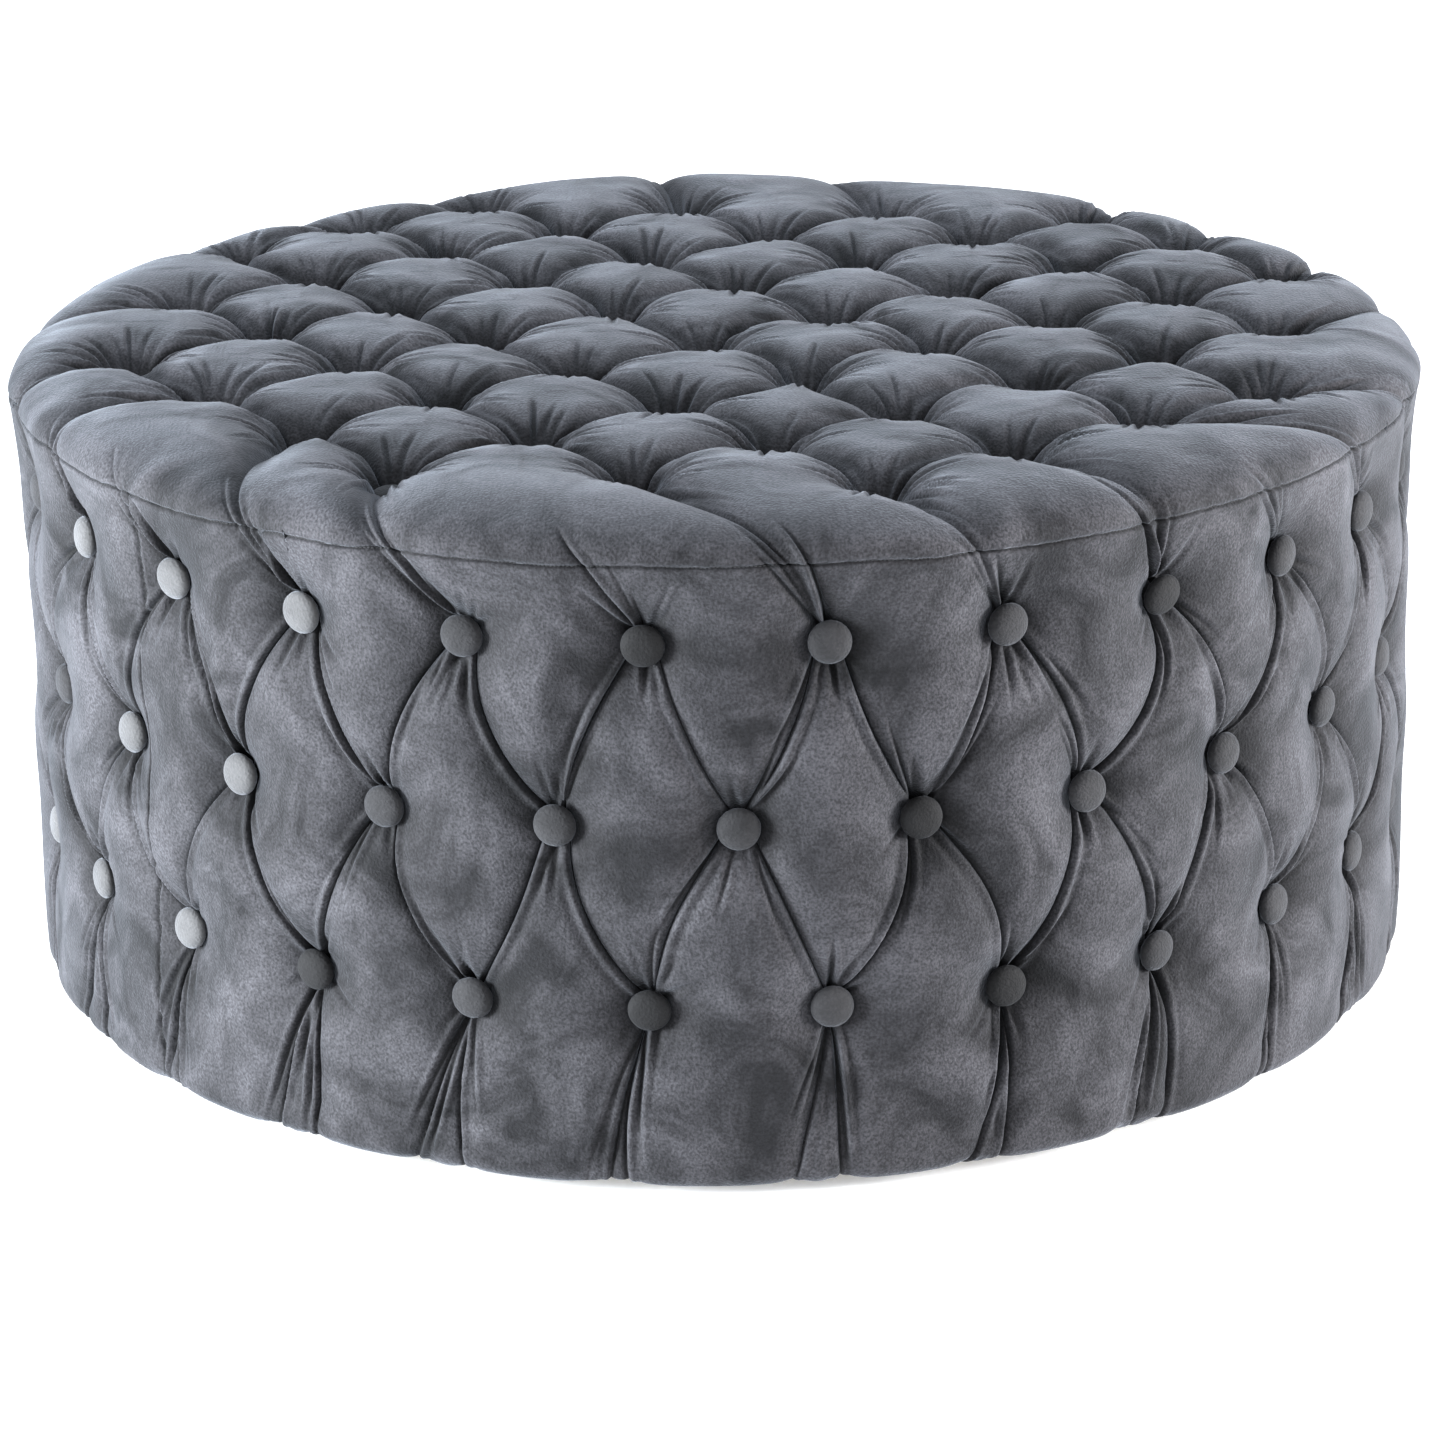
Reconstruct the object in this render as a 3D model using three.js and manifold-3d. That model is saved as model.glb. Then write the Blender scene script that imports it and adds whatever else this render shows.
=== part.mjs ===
// Round deep-buttoned ottoman: a timber drum, padded with foam, in a tufted cloth cover.
// Units are millimetres, +Z is up, the origin is on the floor under the middle of the drum,
// and the front is towards -Y.

import * as THREE from 'three';
import { mergeVertices } from 'three/addons/utils/BufferGeometryUtils.js';
import Module from 'manifold-3d';

const wasm = await Module();
wasm.setup();

// ---- Driving dimensions -------------------------------------------------------------------

const GAP = 0.3;                 // clearance between touching pieces

const COVER_RADIUS = 500;        // outside of the padding between the buttons
const COVER_HEIGHT = 458;        // crown of the top
const CLOTH = 3;                 // velvet with its backing and wadding, as one layer
const SEAM_HEIGHT = 425;         // stitched seam between the side band and the top panel

const BUTTON_RADIUS = 14;
const BUTTON_THICKNESS = 7;
const BUTTON_SIDES = 6;
const BUTTON_CIRCLE = 487;       // radius to the face of the side buttons
const BUTTON_DRAW = 10;          // the cloth is drawn in this far behind a side button
const BUTTON_STAND = 4;          // a button of the top stands this far above its hollow
const BUTTONS_ROUND = 26;        // side buttons in one row
const FIRST_BUTTON = -151;       // direction of the first side button, in degrees from +X
const SIDE_ROWS = [
  { name: 'lower', height: 128, odd: false },
  { name: 'middle', height: 251, odd: true },
  { name: 'upper', height: 371, odd: false },
];

const FIELD_TURN = -8.5;         // the top's diamond field and the frame are turned by this
const FIELD_COLUMN = 157;        // button spacing along a row of the field
const FIELD_ROW = 80;            // spacing between rows, with alternate rows half a column over
const FIELD_ROWS = 10;
const FIELD_RADIUS = 442;        // no button of the field lies outside this
const FIELD_DEPTH = 36;          // how far a button pulls the top's cover down
const HOLLOW_SEAT = 22.4;        // corner radius of the flat floor of a hollow in the top
const HOLLOW_RISE = 3;           // the floor's edge is this much higher than its middle
const HOLLOW_SPREAD = 60;        // corner radius of a hollow at the crown

const TWINE = 1.8;               // half width of the tufting twine
const TWINE_HOLE = 3;            // half width of the punched hole that a twine runs through
const TWINE_CLEARANCE = 2;       // from the wall or the top board to the twine that runs along it

const BASE_CLEARANCE = 8;        // from the floor to the underside of the base
const GLIDE_RADIUS = 12;
const GLIDE_CIRCLE = 400;
const GLIDES = 6;
const GLIDE_SIDES = 16;
const NAIL_RADIUS = 1.5;
const NAIL_SIDES = 6;
const NAIL_LENGTH = 12;
const DUST_COVER = 0.8;
const DUST_COVER_RADIUS = 430;
const TACK_STRIP = 1;
const TACK_STRIP_INSIDE = 431;
const HEM_INSIDE = 428;          // the cover's hem turns under the base to this radius
const HEM_CLOTH = 1.2;
const CORNER_TURN = 12;          // the padding rounds in by this much at the bottom edge
const CORNER_RISE = 14;          // and it does so within this height

const BASE_THICKNESS = 18;
const BASE_INSIDE = 350;
const WALL_OUTSIDE = 452;
const WALL_THICKNESS = 4;
const TOP_BOARD_UNDER = 382;
const TOP_BOARD_THICKNESS = 15;
const HOOP_THICKNESS = 12;
const HOOP_WIDTH = 34;
const HOOP_HEIGHTS = [184, 306];
const POST_DIRECTIONS = [22.5, 54, 126, 157.5, 202.5, 234, 306, 337.5];
const RAIL_POST = 22.5;          // the posts within this many degrees of the X axis carry the rails
const POST_SIDE = 40;
const POST_FACE = 410;           // outer face of the posts
const RAIL_WIDTH = 45;
const RAIL_DEPTH = 60;
const CENTRE_POST_SIDE = 44;

const SEAM_COLUMN = 1;           // the band's joining seams lie past this column and opposite it
const SKIVE = 20;                // the foams thin by this where side and top meet at the board
const SKIVE_REST = 4;            // and the top's pad by this much more on the board itself
// how the top rolls over to its edge: distance in from the edge, and drop as a share of the roll
const EDGE_PROFILE = [[0, 1], [8, 0.45], [26, 0.12], [52, 0]];

const DEGREE = Math.PI / 180;

// ---- Heights that follow from the driving dimensions ---------------------------------------

const baseUnder = BASE_CLEARANCE;
const hemTop = baseUnder - GAP;
const hemUnder = hemTop - HEM_CLOTH;
const dustCoverTop = hemUnder - GAP;
const dustCoverUnder = dustCoverTop - DUST_COVER;
const baseTop = baseUnder + BASE_THICKNESS;
const boardTop = TOP_BOARD_UNDER + TOP_BOARD_THICKNESS;
const wallInside = WALL_OUTSIDE - WALL_THICKNESS;
const frameRadius = wallInside - GAP;
const coverInside = COVER_RADIUS - CLOTH;
const foamRadius = coverInside - GAP;
const sideDimple = BUTTON_CIRCLE - BUTTON_THICKNESS - BUTTON_DRAW;
const fieldDimple = COVER_HEIGHT - FIELD_DEPTH;

// ---- Materials -----------------------------------------------------------------------------

const materials = {
  velvet: new THREE.MeshStandardMaterial({ color: 0x4b5159, roughness: 0.85, metalness: 0 }),
  button: new THREE.MeshStandardMaterial({ color: 0x565d66, roughness: 0.8, metalness: 0 }),
  foam: new THREE.MeshStandardMaterial({ color: 0xd9cfae, roughness: 0.95, metalness: 0 }),
  plywood: new THREE.MeshStandardMaterial({ color: 0xb98f5e, roughness: 0.7, metalness: 0 }),
  timber: new THREE.MeshStandardMaterial({ color: 0xc9a873, roughness: 0.75, metalness: 0 }),
  hardboard: new THREE.MeshStandardMaterial({ color: 0x7b5636, roughness: 0.7, metalness: 0 }),
  cambric: new THREE.MeshStandardMaterial({ color: 0x1b1b1d, roughness: 0.95, metalness: 0 }),
  plastic: new THREE.MeshStandardMaterial({ color: 0x222224, roughness: 0.5, metalness: 0 }),
  card: new THREE.MeshStandardMaterial({ color: 0x9a8a6c, roughness: 0.9, metalness: 0 }),
};

const ottoman = new THREE.Group();

/** Adds a piece of the ottoman to its group and returns it. */
function add(name, geometry, material, parent = ottoman) {
  const piece = new THREE.Mesh(geometry, materials[material]);
  piece.name = name;
  parent.add(piece);
  return piece;
}

// ---- Solids --------------------------------------------------------------------------------

/** Turns a closed geometry into a manifold solid with shared corners. */
function solidOf(geometry) {
  const plain = geometry.clone();
  plain.deleteAttribute('normal');
  plain.deleteAttribute('uv');
  const merged = mergeVertices(plain, 1e-4);
  return new wasm.Manifold(new wasm.Mesh({
    numProp: 3,
    vertProperties: new Float32Array(merged.attributes.position.array),
    triVerts: new Uint32Array(merged.index.array),
  }));
}

/** Turns a manifold solid back into a geometry. */
function geometryOf(solid) {
  const mesh = solid.getMesh();
  const geometry = new THREE.BufferGeometry();
  geometry.setAttribute('position', new THREE.BufferAttribute(mesh.vertProperties, 3));
  geometry.setIndex(new THREE.BufferAttribute(mesh.triVerts, 1));
  geometry.computeVertexNormals();
  return geometry;
}

/** Joins a list of overlapping geometries into one geometry. */
function joined(geometries) {
  return geometryOf(geometries.map(solidOf).reduce((whole, next) => whole.add(next)));
}

/** A box from low to high along each axis. */
function block(low, high) {
  const size = high.map((value, axis) => value - low[axis]);
  const middle = high.map((value, axis) => (value + low[axis]) / 2);
  return new THREE.BoxGeometry(...size).translate(...middle);
}

// The drum is drawn on angular columns. Even columns carry the buttons of the lower and upper
// rows, odd columns those of the middle row, and a plain column lies at each seam of the band.
const halfPitch = 180 / BUTTONS_ROUND;
const columns = Array.from({ length: 2 * BUTTONS_ROUND }, (_, k) => ({
  angle: (FIRST_BUTTON + k * halfPitch) * DEGREE,
  odd: k % 2 === 1,
}));

/** A point of the drum at a radius, angle and height. */
function onDrum(radius, angle, z) {
  return [radius * Math.cos(angle), radius * Math.sin(angle), z];
}

/** The radius of a row at a column: pulled in where the row has a button there. */
const isPulled = (row, column) => row.dimple !== undefined && column.odd === row.odd;
const radiusAt = (row, column) => (isPulled(row, column) ? row.dimple : row.radius);

/** The point of a row at a column. A plain column lies on the chord between its neighbours. */
function rowPoint(row, column) {
  if (!column.between) return onDrum(radiusAt(row, column), column.angle, row.z);
  const [from, to] = column.between.map((side) => new THREE.Vector3(...rowPoint(row, side)));
  return from.lerp(to, column.share).toArray();
}

/**
 * A closed layer of the drum. outside and inside list its rows from the bottom up, each
 * {z, radius, dimple, odd}: a row with a dimple has a punched hole at each column of its
 * parity, where the surface is pulled in to the dimple's radius. With wrap false the layer is
 * a panel that is capped at its first and last column.
 */
function drumLayer(outside, inside, across = columns, wrap = true) {
  const points = [];
  const faces = [];
  const put = (point) => points.push(point) - 1;
  const triangle = (a, b, c) => faces.push([a, b, c]);
  const last = wrap ? across.length : across.length - 1;

  const surfaces = [outside, inside].map((rows) => rows.map((row) => across.map((column) => {
    if (column.between || !isPulled(row, column)) return { centre: put(rowPoint(row, column)) };
    const turn = TWINE_HOLE / row.dimple;
    return {
      east: put(onDrum(row.dimple, column.angle + turn, row.z)),
      north: put(onDrum(row.dimple, column.angle, row.z + TWINE_HOLE)),
      west: put(onDrum(row.dimple, column.angle - turn, row.z)),
      south: put(onDrum(row.dimple, column.angle, row.z - TWINE_HOLE)),
    };
  })));

  // each cell's outline runs anticlockwise, and a corner at a hole gives two points
  const corner = (node, first, second) => (
    node.centre !== undefined ? [node.centre] : [node[first], node[second]]);
  surfaces.forEach((rows, layer) => {
    for (let r = 0; r < rows.length - 1; r += 1) {
      for (let k = 0; k < last; k += 1) {
        const next = (k + 1) % across.length;
        const outline = [
          ...corner(rows[r][k], 'north', 'east'),
          ...corner(rows[r][next], 'west', 'north'),
          ...corner(rows[r + 1][next], 'south', 'west'),
          ...corner(rows[r + 1][k], 'east', 'south'),
        ];
        for (let i = 1; i < outline.length - 1; i += 1) {
          if (layer === 0) triangle(outline[0], outline[i], outline[i + 1]);
          else triangle(outline[0], outline[i + 1], outline[i]);
        }
      }
    }
  });

  const quad = (a, b, c, d) => {
    triangle(a, b, c);
    triangle(a, c, d);
  };
  const [outer, inner] = surfaces;
  const top = outer.length - 1;
  for (let k = 0; k < last; k += 1) {
    const next = (k + 1) % across.length;
    quad(outer[top][k].centre, outer[top][next].centre, inner[top][next].centre, inner[top][k].centre);
    quad(inner[0][k].centre, inner[0][next].centre, outer[0][next].centre, outer[0][k].centre);
  }
  for (let r = 0; r <= top; r += 1) {
    outer[r].forEach((node, k) => {
      if (node.centre !== undefined) return;
      const ring = ['east', 'north', 'west', 'south'];
      ring.forEach((from, i) => {
        const to = ring[(i + 1) % 4];
        quad(node[from], node[to], inner[r][k][to], inner[r][k][from]);
      });
    });
  }
  if (!wrap) {
    const end = across.length - 1;
    for (let r = 0; r < top; r += 1) {
      quad(outer[r][0].centre, outer[r + 1][0].centre, inner[r + 1][0].centre, inner[r][0].centre);
      quad(inner[r + 1][end].centre, outer[r + 1][end].centre,
        outer[r][end].centre, inner[r][end].centre);
    }
  }

  const geometry = new THREE.BufferGeometry();
  geometry.setAttribute('position', new THREE.Float32BufferAttribute(points.flat(), 3));
  geometry.setIndex(faces.flat());
  geometry.computeVertexNormals();
  return geometry;
}

/** A plain ring of board between two radii and two heights. */
function ring(outer, inner, low, high, across = columns, wrap = true) {
  const rows = (radius) => [{ z: low, radius }, { z: high, radius }];
  return drumLayer(rows(outer), rows(inner), across, wrap);
}

// The frame and the top's field of buttons share one turned group.
const field = new THREE.Group();
field.rotation.z = FIELD_TURN * DEGREE;
ottoman.add(field);

// ---- Base ----------------------------------------------------------------------------------

/** The glides' places, as angles in radians. */
const glideAngles = Array.from({ length: GLIDES }, (_, k) => (k + 0.5) * 2 * Math.PI / GLIDES);

/** A cylinder that stands on a place of the glide circle, between two heights. */
function atGlide(radius, angle, low, high, sides) {
  return new THREE.CylinderGeometry(radius, radius, high - low, sides)
    .rotateX(Math.PI / 2)
    .translate(GLIDE_CIRCLE * Math.cos(angle), GLIDE_CIRCLE * Math.sin(angle), (low + high) / 2);
}

const nailTop = baseUnder + NAIL_LENGTH;
const nailHoles = glideAngles
  .map((angle) => solidOf(atGlide(NAIL_RADIUS + GAP, angle, -1, nailTop + GAP, NAIL_SIDES)))
  .reduce((whole, next) => whole.add(next));

/** A geometry with the glides' nail holes taken out of it. */
const nailed = (geometry) => geometryOf(solidOf(geometry).subtract(nailHoles));

add('base_ring', nailed(ring(frameRadius, BASE_INSIDE, baseUnder, baseTop)), 'plywood');

add('dust_cover', nailed(
  new THREE.CylinderGeometry(DUST_COVER_RADIUS, DUST_COVER_RADIUS, DUST_COVER, BUTTONS_ROUND)
    .rotateX(Math.PI / 2)
    .translate(0, 0, dustCoverTop - DUST_COVER / 2)), 'cambric');

add('tack_strip',
  ring(frameRadius, TACK_STRIP_INSIDE, dustCoverTop - TACK_STRIP, dustCoverTop), 'card');

glideAngles.forEach((angle, k) => {
  const top = dustCoverUnder - GAP;
  add(`glide_${k + 1}`, joined([
    atGlide(GLIDE_RADIUS, angle, 0, top, GLIDE_SIDES),
    atGlide(NAIL_RADIUS, angle, top / 2, nailTop, NAIL_SIDES),
  ]), 'plastic');
});

const railEnd = BASE_INSIDE * Math.cos(halfPitch * DEGREE) - 2;
const halfRail = RAIL_WIDTH / 2;
add('base_rail_long',
  block([-railEnd, -halfRail, baseUnder], [railEnd, halfRail, baseTop]), 'timber', field);
for (const side of [-1, 1]) {
  const near = side * (halfRail + GAP);
  const far = side * railEnd;
  add(side < 0 ? 'base_rail_front' : 'base_rail_back',
    block([-halfRail, Math.min(near, far), baseUnder], [halfRail, Math.max(near, far), baseTop]),
    'timber', field);
}

// ---- Posts, top rails, hoops and centre post -------------------------------------------------

const railTop = TOP_BOARD_UNDER - GAP;
const railUnder = railTop - RAIL_DEPTH;
const postCircle = POST_FACE - POST_SIDE / 2;
const railOffset = postCircle * Math.sin(RAIL_POST * DEGREE);
const railHalfLength = postCircle * Math.cos(RAIL_POST * DEGREE) + POST_SIDE / 2;
POST_DIRECTIONS.forEach((direction, k) => {
  const angle = direction * DEGREE;
  const y = postCircle * Math.sin(angle);
  const top = Math.abs(y) < railOffset + 1 ? railUnder - GAP : railTop;
  const half = POST_SIDE / 2;
  const post = add(`post_${k + 1}`,
    block([-half, -half, baseTop + GAP], [half, half, top]), 'timber', field);
  post.position.set(postCircle * Math.cos(angle), y, 0);
  post.rotation.z = angle;
});

for (const side of [-1, 1]) {
  const y = side * railOffset;
  add(side < 0 ? 'top_rail_front' : 'top_rail_back',
    block([-railHalfLength, y - halfRail, railUnder], [railHalfLength, y + halfRail, railTop]),
    'timber', field);
}

const halfCentre = CENTRE_POST_SIDE / 2;
add('centre_post',
  block([-halfCentre, -halfCentre, baseTop + GAP], [halfCentre, halfCentre, railTop]),
  'timber', field);

HOOP_HEIGHTS.forEach((height, k) => {
  add(k === 0 ? 'hoop_lower' : 'hoop_upper',
    ring(frameRadius, frameRadius - HOOP_WIDTH, height - HOOP_THICKNESS / 2,
      height + HOOP_THICKNESS / 2), 'plywood');
});

// ---- Top board: a plywood disc with a hole for each twine of the field ------------------------

/** The buttons of the top's field as rows of {x, y}, in the field's own turned frame. */
const fieldRows = Array.from({ length: FIELD_ROWS }, (_, j) => {
  const y = (j - (FIELD_ROWS - 1) / 2) * FIELD_ROW;
  const shift = j % 2 === 1 ? 0.5 : 0;
  const reach = Math.ceil(FIELD_RADIUS / FIELD_COLUMN);
  const row = [];
  for (let k = -reach; k <= reach; k += 1) {
    const x = (k + shift) * FIELD_COLUMN;
    if (Math.hypot(x, y) < FIELD_RADIUS) row.push({ x, y });
  }
  return row;
});
const fieldButtons = fieldRows.flat();

/** A diamond-shaped hole outline about a point. */
function twineHole({ x, y }) {
  const half = TWINE_HOLE;
  return new THREE.Path([
    new THREE.Vector2(x + half, y), new THREE.Vector2(x, y - half),
    new THREE.Vector2(x - half, y), new THREE.Vector2(x, y + half),
  ]);
}

const boardOutline = new THREE.Shape(columns.map((column) => {
  const angle = column.angle - FIELD_TURN * DEGREE;
  return new THREE.Vector2(frameRadius * Math.cos(angle), frameRadius * Math.sin(angle));
}));
boardOutline.holes = fieldButtons.map(twineHole);
add('top_board',
  new THREE.ExtrudeGeometry(boardOutline, { depth: TOP_BOARD_THICKNESS, bevelEnabled: false })
    .translate(0, 0, TOP_BOARD_UNDER), 'plywood', field);

// ---- Side band: wall skin, foam and cover -----------------------------------------------------

/** The rows of a layer of the side, dimpled at the rows of buttons. */
function sideRows(bottom, radius, dimple, top) {
  const buttonRows = SIDE_ROWS.map((row) => ({ z: row.height, radius, dimple, odd: row.odd }));
  return [...bottom, ...buttonRows, top];
}

/** The columns of half the drum from halfway past one column to halfway past the opposite one. */
function panelColumns(first) {
  const at = (k) => columns[(k + columns.length) % columns.length];
  const slack = GAP / (2 * COVER_RADIUS * halfPitch * DEGREE);
  const last = first + BUTTONS_ROUND;
  const within = Array.from({ length: BUTTONS_ROUND }, (_, k) => at(first + 1 + k));
  return [
    { between: [at(first), at(first + 1)], share: 0.5 + slack },
    ...within,
    { between: [at(last), at(last + 1)], share: 0.5 - slack },
  ];
}

const panels = [
  { name: 'front', across: panelColumns(SEAM_COLUMN) },
  { name: 'back', across: panelColumns(SEAM_COLUMN + BUTTONS_ROUND) },
];

const turnTop = hemUnder + CORNER_RISE;
const foamInside = WALL_OUTSIDE + GAP;

for (const panel of panels) {
  const wall = (radius) => sideRows(
    [{ z: baseUnder, radius }], radius, radius, { z: boardTop, radius });
  add(`wall_skin_${panel.name}`,
    drumLayer(wall(WALL_OUTSIDE), wall(wallInside), panel.across, false), 'hardboard');

  const foam = (radius, corner, dimple, edge) => sideRows(
    [{ z: baseUnder, radius: corner }, { z: turnTop, radius }], radius, dimple,
    { z: boardTop, radius: edge });
  add(`side_foam_${panel.name}`, drumLayer(
    foam(foamRadius, foamRadius - CORNER_TURN - GAP, sideDimple - CLOTH - GAP, foamRadius - SKIVE),
    foam(foamInside, foamInside, foamInside, foamInside), panel.across, false), 'foam');

  const cover = (radius, hem, dimple) => sideRows([
    { z: hem, radius: HEM_INSIDE }, { z: hem, radius: radius - CORNER_TURN }, { z: turnTop, radius },
  ], radius, dimple, { z: SEAM_HEIGHT - GAP, radius });
  add(`side_cover_${panel.name}`, drumLayer(
    cover(COVER_RADIUS, hemUnder, sideDimple),
    cover(coverInside, hemTop, sideDimple - CLOTH), panel.across, false), 'velvet');
}

// ---- Top: foam pad and tufted cover panel -----------------------------------------------------

const edgeRoll = COVER_HEIGHT - SEAM_HEIGHT;

/** A crowned pad of the given outside radius and crown, with flats in line with the columns. */
function pad(radius, crown, bottom, skive = 0) {
  const edge = EDGE_PROFILE.map(([inset, drop]) => [
    radius - inset, drop === 1 ? SEAM_HEIGHT : crown - drop * edgeRoll]);
  const profile = [[0, bottom], [radius - skive - SKIVE_REST, bottom], ...edge, [0, crown]]
    .map(([r, z]) => new THREE.Vector2(r, z));
  return new THREE.LatheGeometry(profile, 2 * BUTTONS_ROUND)
    .rotateX(Math.PI / 2)
    .rotateZ((FIRST_BUTTON - FIELD_TURN + 90) * DEGREE);
}

/**
 * The four-sided hollows that the buttons press into the top, each with its twine's hole. They
 * stand a little over the crown, so that they cut right through it.
 */
function fieldHollows(crown, dimple, low) {
  const over = crown + 2;
  const profile = [
    [0, low], [TWINE_HOLE, low], [TWINE_HOLE, dimple], [HOLLOW_SEAT, dimple + HOLLOW_RISE],
    [HOLLOW_SPREAD, over], [0, over],
  ].map(([r, z]) => new THREE.Vector2(r, z));
  const hollow = solidOf(new THREE.LatheGeometry(profile, 4).rotateX(Math.PI / 2));
  return fieldButtons
    .map(({ x, y }) => hollow.translate([x, y, 0]))
    .reduce((whole, next) => whole.add(next));
}

const padBottom = boardTop + GAP;
const foamCrown = COVER_HEIGHT - CLOTH - GAP;
add('top_foam', geometryOf(
  solidOf(pad(foamRadius, foamCrown, padBottom, SKIVE))
    .subtract(fieldHollows(foamCrown, fieldDimple - CLOTH - GAP, padBottom - 1))), 'foam', field);

const coverOutside = solidOf(pad(COVER_RADIUS, COVER_HEIGHT, SEAM_HEIGHT))
  .subtract(fieldHollows(COVER_HEIGHT, fieldDimple, SEAM_HEIGHT - edgeRoll));
const coverHollow = solidOf(pad(coverInside, COVER_HEIGHT - CLOTH, SEAM_HEIGHT - 1))
  .subtract(fieldHollows(COVER_HEIGHT - CLOTH, fieldDimple - CLOTH, SEAM_HEIGHT - edgeRoll));
add('top_cover', geometryOf(coverOutside.subtract(coverHollow)), 'velvet', field);

// ---- Buttons: each is tied by twine through the padding and board, on to the next one ---------

/** A covered button that faces +Z at the origin, with its twine running back from it. */
function buttonOnTwine(back) {
  const profile = [
    [0, -BUTTON_THICKNESS], [BUTTON_RADIUS, -BUTTON_THICKNESS], [BUTTON_RADIUS - 3, 0], [0, 0],
  ].map(([r, z]) => new THREE.Vector2(r, z));
  const button = new THREE.LatheGeometry(profile, BUTTON_SIDES).rotateX(Math.PI / 2);
  const length = back - BUTTON_THICKNESS / 2;
  const twine = new THREE.CylinderGeometry(TWINE, TWINE, length, 4)
    .rotateX(Math.PI / 2)
    .translate(0, 0, -back + length / 2);
  return joined([button, twine]);
}

const runRadius = wallInside - TWINE_CLEARANCE;     // outside of the twine run behind the wall
const sideButton = buttonOnTwine(BUTTON_CIRCLE - runRadius + TWINE)
  .rotateY(Math.PI / 2)
  .translate(BUTTON_CIRCLE, 0, 0);
for (const row of SIDE_ROWS) {
  const places = columns.filter((column) => column.odd === row.odd);
  const run = ring(runRadius, runRadius - 2 * TWINE, row.height - TWINE, row.height + TWINE, places);
  const buttons = places.map(
    (column) => sideButton.clone().rotateZ(column.angle).translate(0, 0, row.height));
  add(`side_buttons_${row.name}`, joined([run, ...buttons]), 'button');
}

const fieldFace = fieldDimple + BUTTON_STAND + BUTTON_THICKNESS;
const runTop = TOP_BOARD_UNDER - TWINE_CLEARANCE;
const fieldButton = buttonOnTwine(fieldFace - runTop + TWINE);
fieldRows.forEach((row, j) => {
  const [first, last] = [row[0], row[row.length - 1]];
  const run = block([first.x, first.y - TWINE, runTop - 2 * TWINE], [last.x, last.y + TWINE, runTop]);
  const buttons = row.map(({ x, y }) => fieldButton.clone().translate(x, y, fieldFace));
  add(`top_buttons_row_${j + 1}`, joined([run, ...buttons]), 'button', field);
});

export default ottoman;
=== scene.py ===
"""A large round ottoman, deep buttoned in blue-grey velvet on its top and all round its side.

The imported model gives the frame, and everything here is in metres in that frame: +Z up, the
front towards -Y, the floor at Z = 0. The sections follow the ottoman from its timber outwards.
"""

import bpy
import numpy as np
from mathutils import Euler, Matrix, Vector


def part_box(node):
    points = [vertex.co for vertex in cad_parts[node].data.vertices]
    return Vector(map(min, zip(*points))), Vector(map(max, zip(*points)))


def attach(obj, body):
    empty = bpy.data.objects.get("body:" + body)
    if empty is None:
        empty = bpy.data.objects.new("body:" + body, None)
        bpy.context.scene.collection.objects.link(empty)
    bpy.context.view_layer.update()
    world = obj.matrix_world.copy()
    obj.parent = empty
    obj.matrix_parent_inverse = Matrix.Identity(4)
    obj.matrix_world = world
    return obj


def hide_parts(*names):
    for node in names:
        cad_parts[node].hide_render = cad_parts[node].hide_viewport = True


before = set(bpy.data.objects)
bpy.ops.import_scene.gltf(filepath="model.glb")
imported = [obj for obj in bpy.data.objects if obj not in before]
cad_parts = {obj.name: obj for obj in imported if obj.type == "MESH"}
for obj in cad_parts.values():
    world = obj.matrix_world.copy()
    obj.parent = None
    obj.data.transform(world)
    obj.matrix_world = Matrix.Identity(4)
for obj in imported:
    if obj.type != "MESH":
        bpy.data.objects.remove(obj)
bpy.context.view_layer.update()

MM = 0.001

# ---- Camera --------------------------------------------------------------------------------
# A long lens a few metres in front of the ottoman, a little above its top, with the faint
# lean of a hand-levelled tripod. The sensor is 36 mm wide.

CAMERA_DISTANCE = 3.292
CAMERA_HEIGHT = 1.311
CAMERA_DIP = 0.3384         # radians below level
CAMERA_LEAN = -0.0138       # radians about the line of sight


def placed(name, data):
    """A new object with that data, at the origin of the scene."""
    piece = bpy.data.objects.new(name, data)
    bpy.context.scene.collection.objects.link(piece)
    return piece


camera_data = bpy.data.cameras.new("camera")
camera_data.lens = 119.8
camera_data.sensor_width = 36.0
camera_data.shift_x = 0.0019
camera_data.clip_end = 60.0
camera = placed("camera", camera_data)
camera_place = Matrix.Translation((0.0, -CAMERA_DISTANCE, CAMERA_HEIGHT))
camera_tilt = Euler((np.pi / 2 - CAMERA_DIP, 0.0, 0.0)).to_matrix().to_4x4()
camera.matrix_world = camera_place @ camera_tilt @ Matrix.Rotation(CAMERA_LEAN, 4, "Z")
bpy.context.scene.camera = camera


# ---- Frame: plywood rings and boards on softwood posts and rails -----------------------------
# A plywood base ring and two bent plywood hoops, held apart by eight glued softwood posts, with
# rails across under the top board. Raw wood, because the cover hides all of it.


def new_material(name, roughness):
    """A new node material, its node tree and its Principled shader."""
    material = bpy.data.materials.new(name)
    material.use_nodes = True
    shader = material.node_tree.nodes["Principled BSDF"]
    shader.inputs["Roughness"].default_value = roughness
    return material, material.node_tree, shader


def fill(tree, socket, value):
    """Links an output to an input socket, or sets a plain value on it."""
    if isinstance(value, bpy.types.NodeSocket):
        tree.links.new(value, socket)
    else:
        socket.default_value = value


def fill_inputs(tree, node, **values):
    """Fills a node's inputs by name, an underscore standing for a space."""
    for name, value in values.items():
        fill(tree, node.inputs[name.replace("_", " ")], value)


def add_node(tree, kind, **values):
    """A shader node of a kind, with its inputs filled by name."""
    node = tree.nodes.new("ShaderNode" + kind)
    fill_inputs(tree, node, **values)
    return node


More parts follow.
